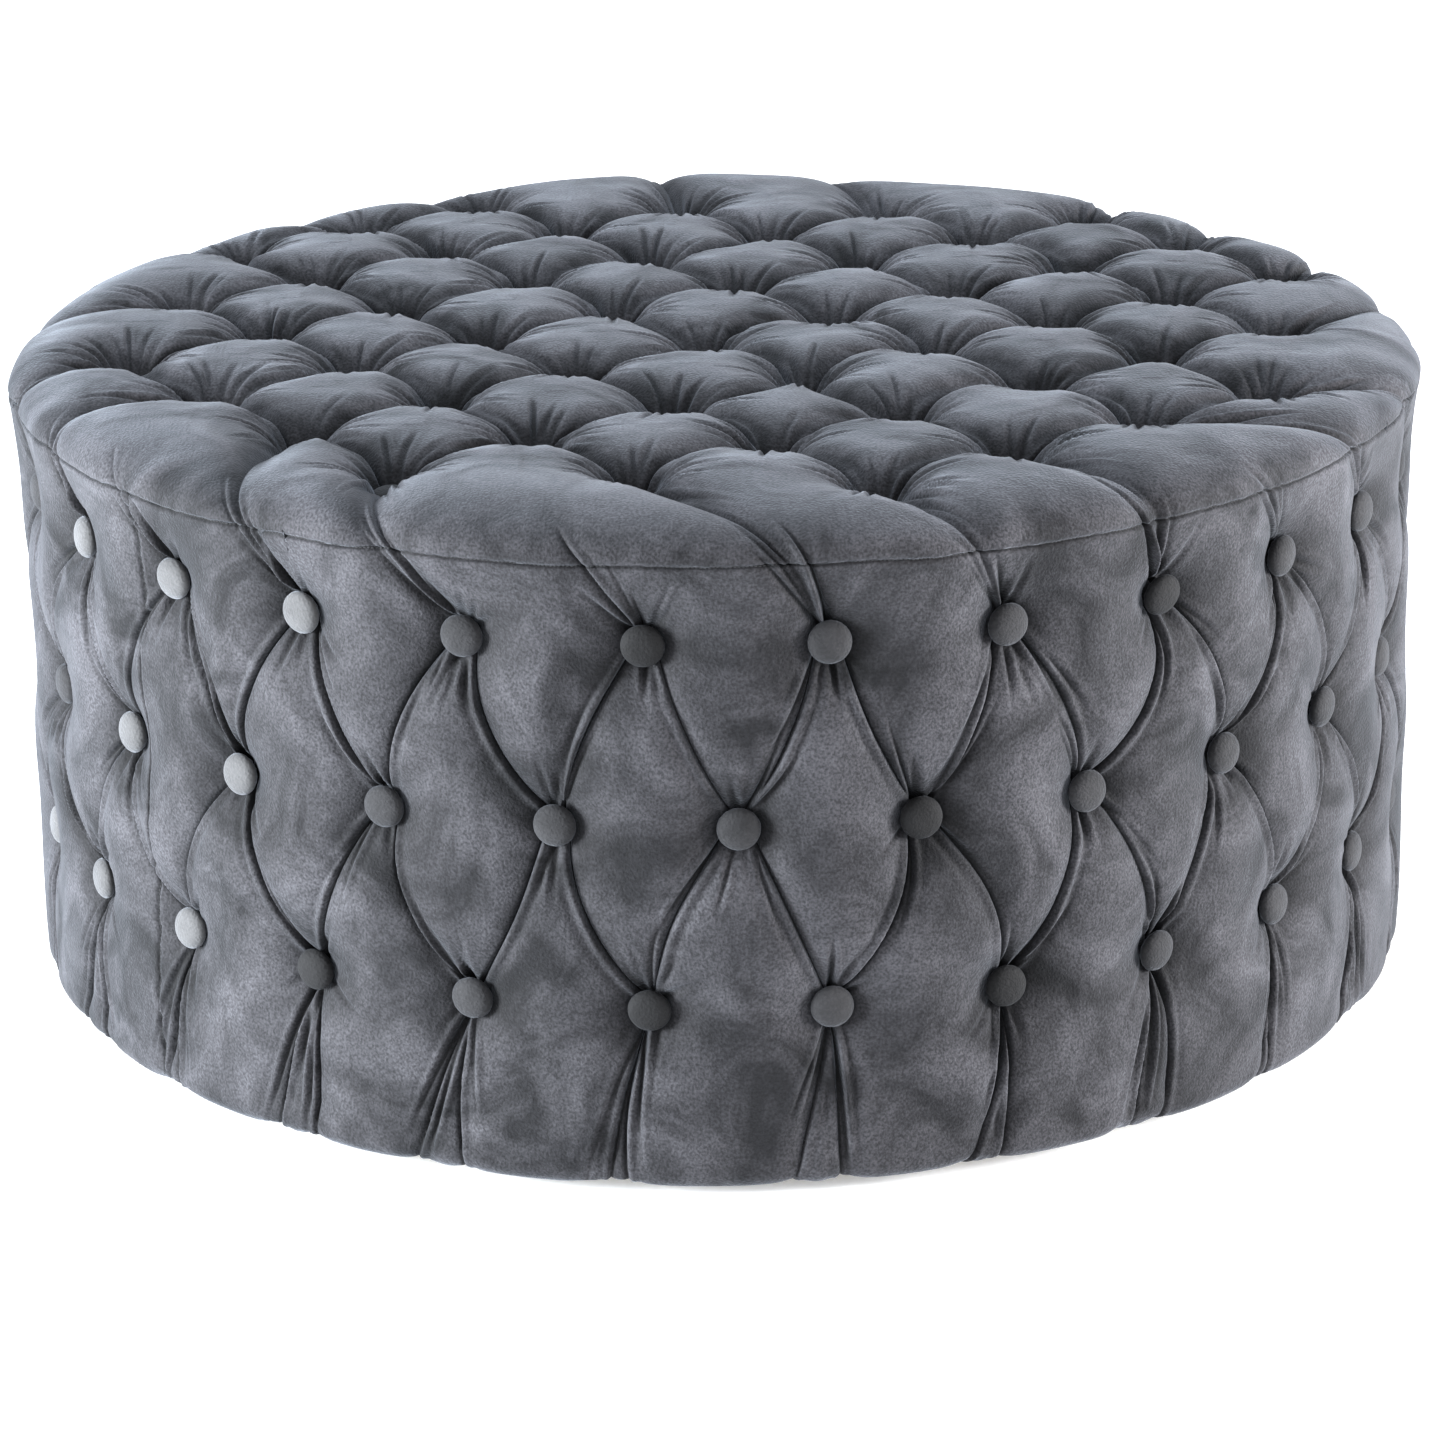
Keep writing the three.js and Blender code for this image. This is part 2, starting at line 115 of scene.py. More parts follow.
def new_effect(name, inputs, outputs):
    """A shader node group with named inputs, each with its starting value, and named outputs.
    A float value makes a number socket, None a vector socket, and outputs give their types."""
    tree = bpy.data.node_groups.new(name, "ShaderNodeTree")
    for label, value in inputs.items():
        kind = "NodeSocketVector" if value is None else "NodeSocketFloat"
        socket = tree.interface.new_socket(label, in_out="INPUT", socket_type=kind)
        if value is not None:
            socket.default_value = value
    for label, kind in outputs.items():
        tree.interface.new_socket(label, in_out="OUTPUT", socket_type=kind)
    return tree, tree.nodes.new("NodeGroupInput").outputs, tree.nodes.new("NodeGroupOutput").inputs


def place_effect(tree, effect, **values):
    """An effect placed in a material's tree, with its inputs filled by name."""
    node = tree.nodes.new("ShaderNodeGroup")
    node.node_tree = effect
    fill_inputs(tree, node, **values)
    return node


def calculate(tree, operation, first, second):
    """The output of a Math node on two values, each an output of another node or a number."""
    node = tree.nodes.new("ShaderNodeMath")
    node.operation = operation
    fill(tree, node.inputs[0], first)
    fill(tree, node.inputs[1], second)
    return node.outputs[0]


def colour_between(tree, mask, dark, light, low=0.0, high=1.0):
    """The output of a colour ramp from dark to light as a mask goes from low to high."""
    ramp = tree.nodes.new("ShaderNodeValToRGB")
    for element, place, colour in zip(ramp.color_ramp.elements, (low, high), (dark, light)):
        element.position = place
        element.color = (*colour, 1.0)
    tree.links.new(mask, ramp.inputs["Fac"])
    return ramp.outputs["Color"]


def bumped(tree, height, distance, strength=1.0, onto=None):
    """The normal of a Bump node over a height from 0 to 1, that distance deep in metres, on top
    of the normal that it is put onto."""
    bump = add_node(tree, "Bump", Height=height, Distance=distance, Strength=strength)
    if onto is not None:
        tree.links.new(onto, bump.inputs["Normal"])
    return bump.outputs["Normal"]


# wood streaks: noise on coordinates that are squeezed along the grain, fine pores over broad bands
wood_streaks, streaks_in, streaks_out = new_effect(
    "wood_streaks", {"Vector": None, "Pore Scale": 900.0}, {"Mask": "NodeSocketFloat"})
band = add_node(wood_streaks, "TexNoise", Vector=streaks_in["Vector"], Scale=70.0, Detail=4.0,
                Roughness=0.6, Distortion=0.6)
pore = add_node(wood_streaks, "TexNoise", Vector=streaks_in["Vector"], Scale=streaks_in["Pore Scale"],
                Detail=2.0, Roughness=0.5)
pore_share = calculate(wood_streaks, "MULTIPLY", pore.outputs["Fac"], 0.4)
band_share = calculate(wood_streaks, "MULTIPLY", band.outputs["Fac"], 0.6)
wood_streaks.links.new(calculate(wood_streaks, "ADD", pore_share, band_share), streaks_out["Mask"])


def wood_material(name, dark, light, squeeze, ply=0.0):
    """Raw wood with its grain along the axis that squeeze makes short. A ply thickness adds the
    light and dark layers that show on a board's edges, where the surface isn't level."""
    material, tree, shader = new_material(name, 0.62)
    place = add_node(tree, "TexCoord").outputs["Object"]
    mapping = add_node(tree, "Mapping", Vector=place, Scale=squeeze)
    mask = place_effect(tree, wood_streaks, Vector=mapping.outputs["Vector"]).outputs["Mask"]
    if ply:
        height = add_node(tree, "SeparateXYZ", Vector=place)
        layers = calculate(tree, "PINGPONG", height.outputs["Z"], ply)
        layers = calculate(tree, "MULTIPLY", layers, 0.35 / ply)
        facing = add_node(tree, "SeparateXYZ", Vector=add_node(tree, "NewGeometry").outputs["Normal"])
        level = calculate(tree, "ABSOLUTE", facing.outputs["Z"], 0.0)
        edge = calculate(tree, "LESS_THAN", level, 0.5)
        mask = calculate(tree, "SUBTRACT", mask, calculate(tree, "MULTIPLY", edge, layers))
    fill_inputs(tree, shader, Base_Color=colour_between(tree, mask, dark, light, 0.3, 0.68),
                Normal=bumped(tree, mask, 0.6 * MM, 0.6))
    return material


def finish_nodes(material, names):
    """Gives carried-over pieces of the frame their finish."""
    for name in names:
        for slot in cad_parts[name].material_slots:
            slot.material = material


SOFTWOOD = (0.42, 0.25, 0.11), (0.72, 0.52, 0.29)   # dark and light streaks
board_wood = wood_material("birch_plywood", (0.33, 0.20, 0.09), (0.60, 0.44, 0.25), (0.07, 1, 1), 1.5 * MM)
post_wood = wood_material("planed_softwood", *SOFTWOOD, (1, 1, 0.06))
rail_wood = wood_material("planed_softwood_rails", *SOFTWOOD, (0.06, 1, 1))
cross_wood = wood_material("planed_softwood_cross", *SOFTWOOD, (1, 0.06, 1))
finish_nodes(board_wood, ["base_ring", "hoop_lower", "hoop_upper", "top_board"])
finish_nodes(post_wood, [f"post_{k}" for k in range(1, 9)] + ["centre_post"])
finish_nodes(rail_wood, ["base_rail_long"])
finish_nodes(cross_wood, ["base_rail_front", "base_rail_back", "top_rail_front", "top_rail_back"])


# ---- Wall skins: the drum's hardboard wall ---------------------------------------------------
# Two sheets of thin brown hardboard bent round the hoops and posts, one for each half. They
# close the drum, and the side foam lies on them.

# specks: a fine fibrous mottle, from soft noise and the cells between scattered points
specks, specks_in, specks_out = new_effect(
    "specks", {"Vector": None, "Scale": 400.0, "Cells": 0.5}, {"Mask": "NodeSocketFloat"})
fibre = add_node(specks, "TexNoise", Vector=specks_in["Vector"], Scale=specks_in["Scale"], Detail=3.0,
                 Roughness=0.65)
cell = add_node(specks, "TexVoronoi", Vector=specks_in["Vector"], Scale=specks_in["Scale"])
speck_mix = add_node(specks, "Mix", Factor=specks_in["Cells"], A=fibre.outputs["Fac"],
                     B=cell.outputs["Distance"])
specks.links.new(speck_mix.outputs["Result"], specks_out["Mask"])


def speckled_material(name, roughness, dark, light, scale, cells, depth):
    """A plain stuff with a fine mottle of specks in its colour and its surface."""
    material, tree, shader = new_material(name, roughness)
    place = add_node(tree, "TexCoord").outputs["Object"]
    mask = place_effect(tree, specks, Vector=place, Scale=scale, Cells=cells).outputs["Mask"]
    fill_inputs(tree, shader, Base_Color=colour_between(tree, mask, dark, light, 0.25, 0.75),
                Normal=bumped(tree, mask, depth))
    return material


hardboard = speckled_material("hardboard", 0.5, (0.10, 0.052, 0.024), (0.17, 0.09, 0.042), 500.0, 0.2,
                              0.15 * MM)
finish_nodes(hardboard, ["wall_skin_front", "wall_skin_back"])


# ---- Padding: the crest surface that the cover swells out to --------------------------------
# Foam over the wall skin and the top board, wrapped in fibre. Between the buttons the cover
# lies on this surface of revolution, and at buttons and pleats it is drawn in from it.

top_low, top_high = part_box("top_cover")
SEAM_HEIGHT = top_low[2]
CROWN = top_high[2] - 1 * MM
SEAM_RADIUS = 0.5 * (top_high[0] - top_low[0]) - 5 * MM
HEM_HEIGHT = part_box("side_cover_front")[0][2]
HEM_TURN = 14 * MM          # how far the hem runs under the bottom edge
CORNER = 13 * MM            # rounding of the bottom edge
ROLL = 72 * MM              # the top rolls over to the rim within this distance
DOME = 2 * MM               # rise of the top from the roll to the middle

# points of the profile along each of its stretches, and the number of the first one on the top
HEM_POINTS = 9
CORNER_POINTS = 24
WALL_POINTS = 199
ROLL_POINTS = 159
FLAT_POINTS = 119
TOP_START = HEM_POINTS + CORNER_POINTS + WALL_POINTS


def crest_profile():
    """Radius and height of the crest surface along its profile, from under the hem to the pole.

    The bottom edge is a quarter circle. The wall stands in a little under the seam and at the
    foot: at a share of the way up, the foot's radius gains 3.4 mm * sin(pi * share) *
    (1 - 1.9 * share ** 3), and 4 mm * share ** 6. The roll falls to the seam as
    (1 - (share of the way out) ** 2.6) ** (1 / 2.2), and inside it the top is a low parabola.
    """
    turn = np.linspace(-np.pi / 2, 0.0, CORNER_POINTS)
    foot_radius = SEAM_RADIUS - 4 * MM
    corner_r = foot_radius - CORNER + CORNER * np.cos(turn)
    corner_z = HEM_HEIGHT + CORNER + CORNER * np.sin(turn)
    hem_r = np.linspace(corner_r[0] - HEM_TURN, corner_r[0], HEM_POINTS + 1)[:-1]
    hem_z = np.full(hem_r.shape, HEM_HEIGHT)
    height = np.linspace(corner_z[-1], SEAM_HEIGHT, WALL_POINTS + 1)[1:]
    share = (height - corner_z[-1]) / (SEAM_HEIGHT - corner_z[-1])
    belly = 3.4 * MM * np.sin(np.pi * share) * (1 - 1.9 * share ** 3)
    wall_r = foot_radius + belly + 4 * MM * share ** 6
    roll = np.linspace(1.0, 0.0, ROLL_POINTS + 1)[1:]
    roll_r = SEAM_RADIUS - ROLL + ROLL * roll
    roll_z = SEAM_HEIGHT + (CROWN - DOME - SEAM_HEIGHT) * (1 - roll ** 2.6) ** (1 / 2.2)
    flat_r = np.linspace(roll_r[-1], 0.0, FLAT_POINTS + 1)[1:]
    flat_z = roll_z[-1] + DOME * (1 - (flat_r / flat_r[0]) ** 2)
    radius = np.concatenate([hem_r, corner_r, wall_r, roll_r, flat_r])
    z = np.concatenate([hem_z, corner_z, height, roll_z, flat_z])
    return radius, z


profile_r, profile_z = crest_profile()
profile_s = np.concatenate([[0.0], np.cumsum(np.hypot(np.diff(profile_r), np.diff(profile_z)))])
profile_s -= profile_s[TOP_START - 1]
HEM = profile_s[0]
POLE = profile_s[-1]
slope_r = np.gradient(profile_r, profile_s)
slope_z = np.gradient(profile_z, profile_s)


def crest(angle, along):
    """Points and outward normals of the crest surface, at an angle about Z and a distance along
    the profile, which is 0 at the rim seam, less down the side and more over the top."""
    radius = np.interp(along, profile_s, profile_r)
    z = np.interp(along, profile_s, profile_z)
    normal_r = np.interp(along, profile_s, slope_z)
    normal_z = -np.interp(along, profile_s, slope_r)
    size = np.hypot(normal_r, normal_z)
    cos, sin = np.cos(angle), np.sin(angle)
    points = np.stack([radius * cos, radius * sin, z], axis=-1)
    normals = np.stack([normal_r * cos, normal_r * sin, normal_z], axis=-1) / size[..., None]
    return points, normals


def along_at_radius(radius):
    """Distance along the profile of a radius on the top."""
    inwards = slice(None, TOP_START - 1, -1)
    return np.interp(radius, profile_r[inwards], profile_s[inwards])


def over_top(places):
    """The (angle, along) places of X and Y places on the top."""
    return np.arctan2(places[:, 1], places[:, 0]), along_at_radius(np.hypot(*places.T))


def along_at_height(z):
    """Distance along the profile of a height on the side."""
    return np.interp(z, profile_z[HEM_POINTS:TOP_START], profile_s[HEM_POINTS:TOP_START])


# ---- Tufting: where the buttons lie and the pleats run --------------------------------------
# Each button is tied down through the foam, and the spare cloth between neighbouring buttons is
# folded into a pleat with a rolled lip, tucked to one side. Shorter folds fan out from under it.

rng = np.random.default_rng(26)
BUTTONS_ROUND = 26
FIRST_BUTTON = np.radians(-151.0)
PITCH = 2 * np.pi / BUTTONS_ROUND
FIELD_TURN = np.radians(-8.5)
FIELD_COLUMN = 157 * MM
FIELD_ROW = 80 * MM
FIELD_ROWS = 10
FIELD_RADIUS = 442 * MM     # the field has no buttons outside this
OUTER_FIELD = 345 * MM      # buttons outside this have a pleat over the rim
BUTTON_RADIUS = 14 * MM
SIDE_DEPTH = 18 * MM        # how far the side buttons draw the cloth in
FIELD_DEPTH = 33 * MM       # how far the top's buttons draw it down
CREASE_LIMIT = 7 * MM       # no crease is deeper than this below its hollow
LEAN_OVER = np.radians(11.0)  # pleats that cross the rim lie this much further round below it
PUCKERS_ROUND = 19          # creases round each of the top's buttons

side_rows = []
for name, odd in (("upper", 0), ("middle", 1), ("lower", 0)):
    low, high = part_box(f"side_buttons_{name}")
    row_along = along_at_height(0.5 * (low[2] + high[2]))
    row_angles = FIRST_BUTTON + (np.arange(BUTTONS_ROUND) + 0.5 * odd) * PITCH
    side_rows.append((name, row_angles, row_along))

field_rows = []
for j in range(FIELD_ROWS):
    row_y = (j - (FIELD_ROWS - 1) / 2) * FIELD_ROW
    columns = (np.arange(-3, 4) + 0.5 * (j % 2)) * FIELD_COLUMN
    columns = columns[np.hypot(columns, row_y) < FIELD_RADIUS]
    field_rows.append(np.stack([columns, np.full(columns.shape, row_y)], axis=1))
to_field = np.array([[np.cos(FIELD_TURN), np.sin(FIELD_TURN)], [-np.sin(FIELD_TURN), np.cos(FIELD_TURN)]])
field_rows = [row @ to_field for row in field_rows]
field = np.concatenate(field_rows)

dimples = []                # (point, depth, spread) of each button's funnel
pleats = []                 # pleats between buttons, each a dictionary that draw_in reads
folds = []                  # the shorter folds beside them, which fade out
puckers = []                # creases that run out from under the buttons
shade_patches = []                # (point, reach, strength) of patches of painted shade beside the side buttons


def add_pleat(way, ends, middle, spread, height, climb=2.4):
    """Records a pleat along a way over the crest surface: its depth at both ends and between
    them, how fast it rises to either side, and the height of its rolled lip. It has risen to
    the depth between at 1 / 2.4 of the way from its start, and 1 / climb from its end, and the
    depth between may be a pair, for either end of the way."""
    path, _ = crest(*way)
    hand = rng.choice((-1.0, 1.0))
    pleats.append(dict(path=path, ends=ends, middle=np.broadcast_to(middle, 2), spread=spread,
                       height=height, hand=hand, climb=climb))


def add_fold(way, height, hand):
    """Records a fold along a way over the crest surface. It dies out at the way's end."""
    path, _ = crest(*way)
    folds.append(dict(path=path, height=height, hand=hand))


def add_pucker(way, depth, width):
    """Records a crease that starts deep and dies out at the way's end."""
    path, _ = crest(*way)
    puckers.append(dict(path=path, depth=depth, width=width))


def bowed(start, end, bow, steps=12):
    """A bowed way between two (angle, along) places: bow, an angle, is its swing to one side."""
    share = np.linspace(0.0, 1.0, steps)
    angles = start[0] + (end[0] - start[0]) * share + bow * np.sin(np.pi * share)
    alongs = start[1] + (end[1] - start[1]) * share
    return angles, alongs


def beside(way, length, drift, steps=7):
    """The first stretch of a way, of that length, which drifts off it to one side in metres."""
    angles, alongs = way
    run = np.concatenate([[0.0], np.cumsum(np.hypot(np.diff(angles) * SEAM_RADIUS, np.diff(alongs)))])
    place = np.linspace(0.0, min(length, run[-1]), steps)
    swing = drift * (place / place[-1]) ** 0.8 / SEAM_RADIUS
    return np.interp(place, run, angles) + swing, np.interp(place, run, alongs)


def backwards(way):
    """A way from its other end."""
    return way[0][::-1], way[1][::-1]


def add_fold_beside(way, side, length, drift, height):
    """Records a fold on one side of a way's start. Its length, its drift off the way and its
    height are each drawn at random between two limits in millimetres."""
    stretch = beside(way, rng.uniform(*length) * MM, side * rng.uniform(*drift) * MM)
    add_fold(stretch, rng.uniform(*height) * MM, side)


# pleats between the rows of the side: each button is joined to its two neighbours below. They
# hang out towards the sides, and up to two folds run beside them from either button
for (_, upper_angles, upper_along), (_, lower_angles, lower_along) in zip(side_rows, side_rows[1:]):
    for angle in upper_angles:
        for step in (-0.5, 0.5):
            bow = 0.13 * PITCH * (np.tanh(2 * np.sin(angle + 1.5)) + rng.normal(0, 0.35))
            start = (angle + step * BUTTON_RADIUS / SEAM_RADIUS, upper_along - 2 * MM)
            end = (angle + step * (PITCH - 0.4 * BUTTON_RADIUS / SEAM_RADIUS), lower_along + 4 * MM)
            way = bowed(start, end, bow)
            add_pleat(way, (16 * MM, 16 * MM), rng.uniform(5.5, 8.5) * MM, rng.uniform(15, 19) * MM,
                      rng.uniform(1.5, 2.6) * MM)
            for source in (way, backwards(way)):
                for side in rng.choice((-1.0, 1.0), rng.integers(0, 3)):
                    drift = side * rng.uniform(6, 15) * MM
                    add_fold(beside(source, rng.uniform(45, 90) * MM, drift),
                             rng.uniform(0.8, 1.7) * MM, side)

# pleats down to the hem from the lower row, which trail to one side
_, lower_angles, lower_along = side_rows[2]
for angle in lower_angles:
    for offset, depth in ((rng.uniform(-0.42, -0.2), 5.5), (rng.uniform(-0.14, 0.06), 5.0)):
        way = bowed((angle, lower_along - 3 * MM), (angle + offset * PITCH, HEM),
                    rng.normal(0.02, 0.04) * PITCH)
        add_pleat(way, (15 * MM, depth * MM), depth * MM, rng.uniform(9, 13) * MM,
                  rng.uniform(1.4, 2.6) * MM)
        for side in rng.choice((-1.0, 1.0), rng.integers(1, 4)):
            add_fold_beside(way, side, (60, 160), (6, 18), (0.8, 1.8))

# pleats over the rim: each outer button of the top is joined to a side button further round,
# and the other side buttons of the upper row have one that dies out above the seam
_, upper_angles, upper_along = side_rows[0]
outer_places = over_top(field[np.hypot(*field.T) > OUTER_FIELD])
reached = np.zeros(BUTTONS_ROUND, dtype=bool)
for angle, along in zip(*outer_places):
    gap = (upper_angles - angle - LEAN_OVER + np.pi) % (2 * np.pi) - np.pi
    nearest = np.argmin(np.abs(gap))
    reached[nearest] = True
    target = angle + gap[nearest] + LEAN_OVER
    way = bowed((target, upper_along + 3 * MM), (angle, along), rng.normal(-0.05, 0.06) * PITCH,
                steps=20)
    add_pleat(way, (16 * MM, 30 * MM), (1 * MM, rng.uniform(13, 17) * MM), rng.uniform(12, 15) * MM,
              rng.uniform(0.7, 1.2) * MM, climb=1.8)
    for side in (-1.0, -1.0, 1.0, 1.0):
        add_fold_beside(way, side, (50, 130), (5, 20), (0.9, 1.7))
        add_fold_beside(backwards(way), side, (50, 110), (8, 26), (0.9, 1.8))
for angle in upper_angles[~reached]:
    way = bowed((angle, upper_along + 3 * MM), (angle - rng.uniform(0.3, 0.6) * PITCH, 30 * MM), 0.0)
    add_pleat(way, (16 * MM, 0.0), 3.5 * MM, 12 * MM, rng.uniform(1.4, 2.2) * MM)
    for side in (-1.0, 1.0, 1.0):
        add_fold_beside(way, side, (40, 80), (5, 18), (0.9, 1.8))

# pleats of the top: between each button and its neighbours in the next row of the field
for row, following in zip(field_rows, field_rows[1:]):
    for start in row:
        reach = np.hypot(*(following - start).T)
        for end in following[reach < 1.1 * np.hypot(0.5 * FIELD_COLUMN, FIELD_ROW)]:
            share = np.linspace(0.0, 1.0, 12)[:, None]
            across = np.array([start[1] - end[1], end[0] - start[0]])
            line = start + (end - start) * share + across * 0.08 * rng.normal() * np.sin(np.pi * share)
            way = over_top(line)
            add_pleat(way, (30 * MM, 30 * MM), rng.uniform(14, 18) * MM, rng.uniform(7.5, 9.5) * MM,
                      rng.uniform(1.6, 2.6) * MM)
            for source in (way, backwards(way)):
                for side in rng.choice((-1.0, 1.0), rng.integers(0, 3)):
                    add_fold_beside(source, side, (40, 80), (6, 16), (1.0, 2.1))

# funnels and puckers of the side buttons: most puckers run up and down. A patch of painted shade lies
# on one side of each button, the right in front and the left round at the left
for _, row_angles, row_along in side_rows:
    for angle in row_angles:
        point, _ = crest(np.array([angle]), np.array([row_along]))
        dimples.append((point[0], SIDE_DEPTH, 23 * MM))
        for _ in range(rng.integers(6, 10)):
            bearing = rng.choice((0.5, -0.5)) * np.pi + rng.normal(0, 0.5)
            out = np.linspace(0.35 * BUTTON_RADIUS, rng.uniform(28, 62) * MM, 6)
            way = angle + out * np.cos(bearing) / SEAM_RADIUS, row_along + out * np.sin(bearing)
            add_pucker(way, rng.uniform(1.0, 2.4) * MM, rng.uniform(1.8, 3.0) * MM)
        # a patch of painted shade to one side of the button, the side set by where the button lies round
        # the drum
        shift = 24 * MM * np.tanh(3 * np.sin(angle + 2.4)) / SEAM_RADIUS
        point, _ = crest(np.array([angle + shift]), np.array([row_along - rng.uniform(-4, 10) * MM]))
        shade_patches.append((point[0], rng.uniform(20, 30) * MM, rng.uniform(0.4, 1.0)))

# funnels and puckers of the top's buttons: they run out all round
for centre in field:
    point, _ = crest(*over_top(centre[None]))
    dimples.append((point[0], FIELD_DEPTH, 14 * MM))
    for k in range(PUCKERS_ROUND):
        bearing = (k + rng.uniform(-0.35, 0.35)) * 2 * np.pi / PUCKERS_ROUND
        out = np.linspace(0.4 * BUTTON_RADIUS, rng.uniform(36, 72) * MM, 6)[:, None]
        way = over_top(centre + out * np.array([np.cos(bearing), np.sin(bearing)]))
        add_pucker(way, rng.uniform(1.4, 3.4) * MM, rng.uniform(1.7, 2.7) * MM)

# slow swells of the whole cover, and the waver of its seams, as waves with random phases
swell_waves = rng.normal(0, 1, (9, 3)) * 14.0
swell_phases = rng.uniform(0, 2 * np.pi, 9)
seam_waves = np.array([5, 11, 23, 41, 190, 263])
seam_swings = np.array([0.6, 0.5, 0.45, 0.35, 0.16, 0.14]) * MM
seam_phases = rng.uniform(0, 2 * np.pi, 6)


def seam_wander(turn):
    """How far a seam strays from true at an angle round the drum, as a sum of sines."""
    return (np.sin(np.asarray(turn)[..., None] * seam_waves + seam_phases) * seam_swings).sum(-1)


upright_seams = [FIRST_BUTTON + 0.75 * PITCH, FIRST_BUTTON + 0.75 * PITCH + np.pi]
upright_paths = [crest(np.full(24, turn), np.linspace(HEM, 0.0, 24))[0] for turn in upright_seams]


def sorted_finder(points):
    """Sorts points by their X, and gives (order, sorted points, a function that finds the sorted
    points in the box of a path widened by a reach)."""
    order = np.argsort(points[:, 0], kind="stable")
    ordered = points[order]

    def near(path, reach):
        """Numbers of the sorted points in the path's box."""
        low, high = path.min(0) - reach, path.max(0) + reach
        first, last = np.searchsorted(ordered[:, 0], (low[0], high[0]))
        part = ordered[first:last, 1:]
        inside = np.all((part > low[1:]) & (part < high[1:]), axis=1)
        return first + np.nonzero(inside)[0]

    return order, ordered, near


def put_back(order, values):
    """Values of the sorted points, in the order that the points came in."""
    result = np.empty_like(values)
    result[order] = values
    return result


def follow(points, normals, path):
    """Distance of points from a path of straight pieces, the share of the way along the path,
    the side of it, which is the offset's dot with (piece direction x surface normal), that
    direction across the path, and the offset itself."""
    piece = path[1:] - path[:-1]
    rel = points[:, None, :] - path[None, :-1, :]
    share = np.clip((rel * piece).sum(-1) / (piece * piece).sum(-1), 0.0, 1.0)
    off = rel - share[..., None] * piece
    square = (off * off).sum(-1)
    nearest = square.argmin(1)
    rows = np.arange(len(points))
    across = np.cross(piece[nearest], normals)
    across /= np.linalg.norm(across, axis=1)[:, None]
    off = off[rows, nearest]
    side = (off * across).sum(-1)
    way = (nearest + share[rows, nearest]) / len(piece)
    return np.sqrt(square[rows, nearest]), way, side, across, off


def gathered(points, normals):
    """Points of the crest surface slid along it towards the buttons and folds, so that a grid
    of cells is finest where the cloth is most folded. Near a path the slide is 0.6 of the
    offset, times exp(-(distance / 8 mm) ** 2), and near a button 0.35 of it within 34 mm."""
    shape = points.shape
    order, ordered, near = sorted_finder(points.reshape(-1, 3))
    facing = normals.reshape(-1, 3)[order]
    for centre, _, _ in dimples:
        here = near(centre[None], 80 * MM)
        off = ordered[here] - centre
        off -= (off * facing[here]).sum(-1)[:, None] * facing[here]
        distance = np.linalg.norm(off, axis=1)
        ordered[here] -= off * (0.35 * np.exp(-(distance / (34 * MM)) ** 2))[:, None]
    slide = np.zeros(ordered.shape)
    weight = np.zeros(len(ordered))
    for path in [fold["path"] for fold in pleats + folds] + upright_paths:
        here = near(path, 18 * MM)
        distance, _, _, _, off = follow(ordered[here], facing[here], path)
        pull = 0.6 * np.exp(-(distance / (8 * MM)) ** 2)
        slide[here] += pull[:, None] * off
        weight[here] += pull
    ordered -= slide / np.maximum(weight / 0.6, 1.0)[:, None]
    return put_back(order, ordered).reshape(shape)


def fold_depth(across, height):
    """Depth across a fold, from a distance in metres that is positive on the tucked side. A
    rolled lip stands up beside the crease, with a shallow dip behind it, and the tucked side
    comes up from under it within a few millimetres."""
    x = across / MM
    lip = np.exp(-((x + 2.9) / 1.7) ** 2)
    dip = 0.4 * np.exp(-((x + 6.8) / 2.4) ** 2)
    crease = 1.5 * np.exp(-((x - 0.3) / 1.15) ** 2)
    tucked = 0.35 * (1 + np.tanh(x / 1.2)) * np.exp(-np.maximum(x, 0.0) / 7.0)
    return height * (crease + tucked + dip - lip)


def seam_depth(off):
    """Depth of a seam at a distance off it: a groove between two low swellings."""
    groove = 2.2 * np.exp(-(off / (1.1 * MM)) ** 2)
    swelling = 0.3 * np.exp(-((np.abs(off) - 3.5 * MM) / (2.2 * MM)) ** 2)
    return (groove - swelling) * MM


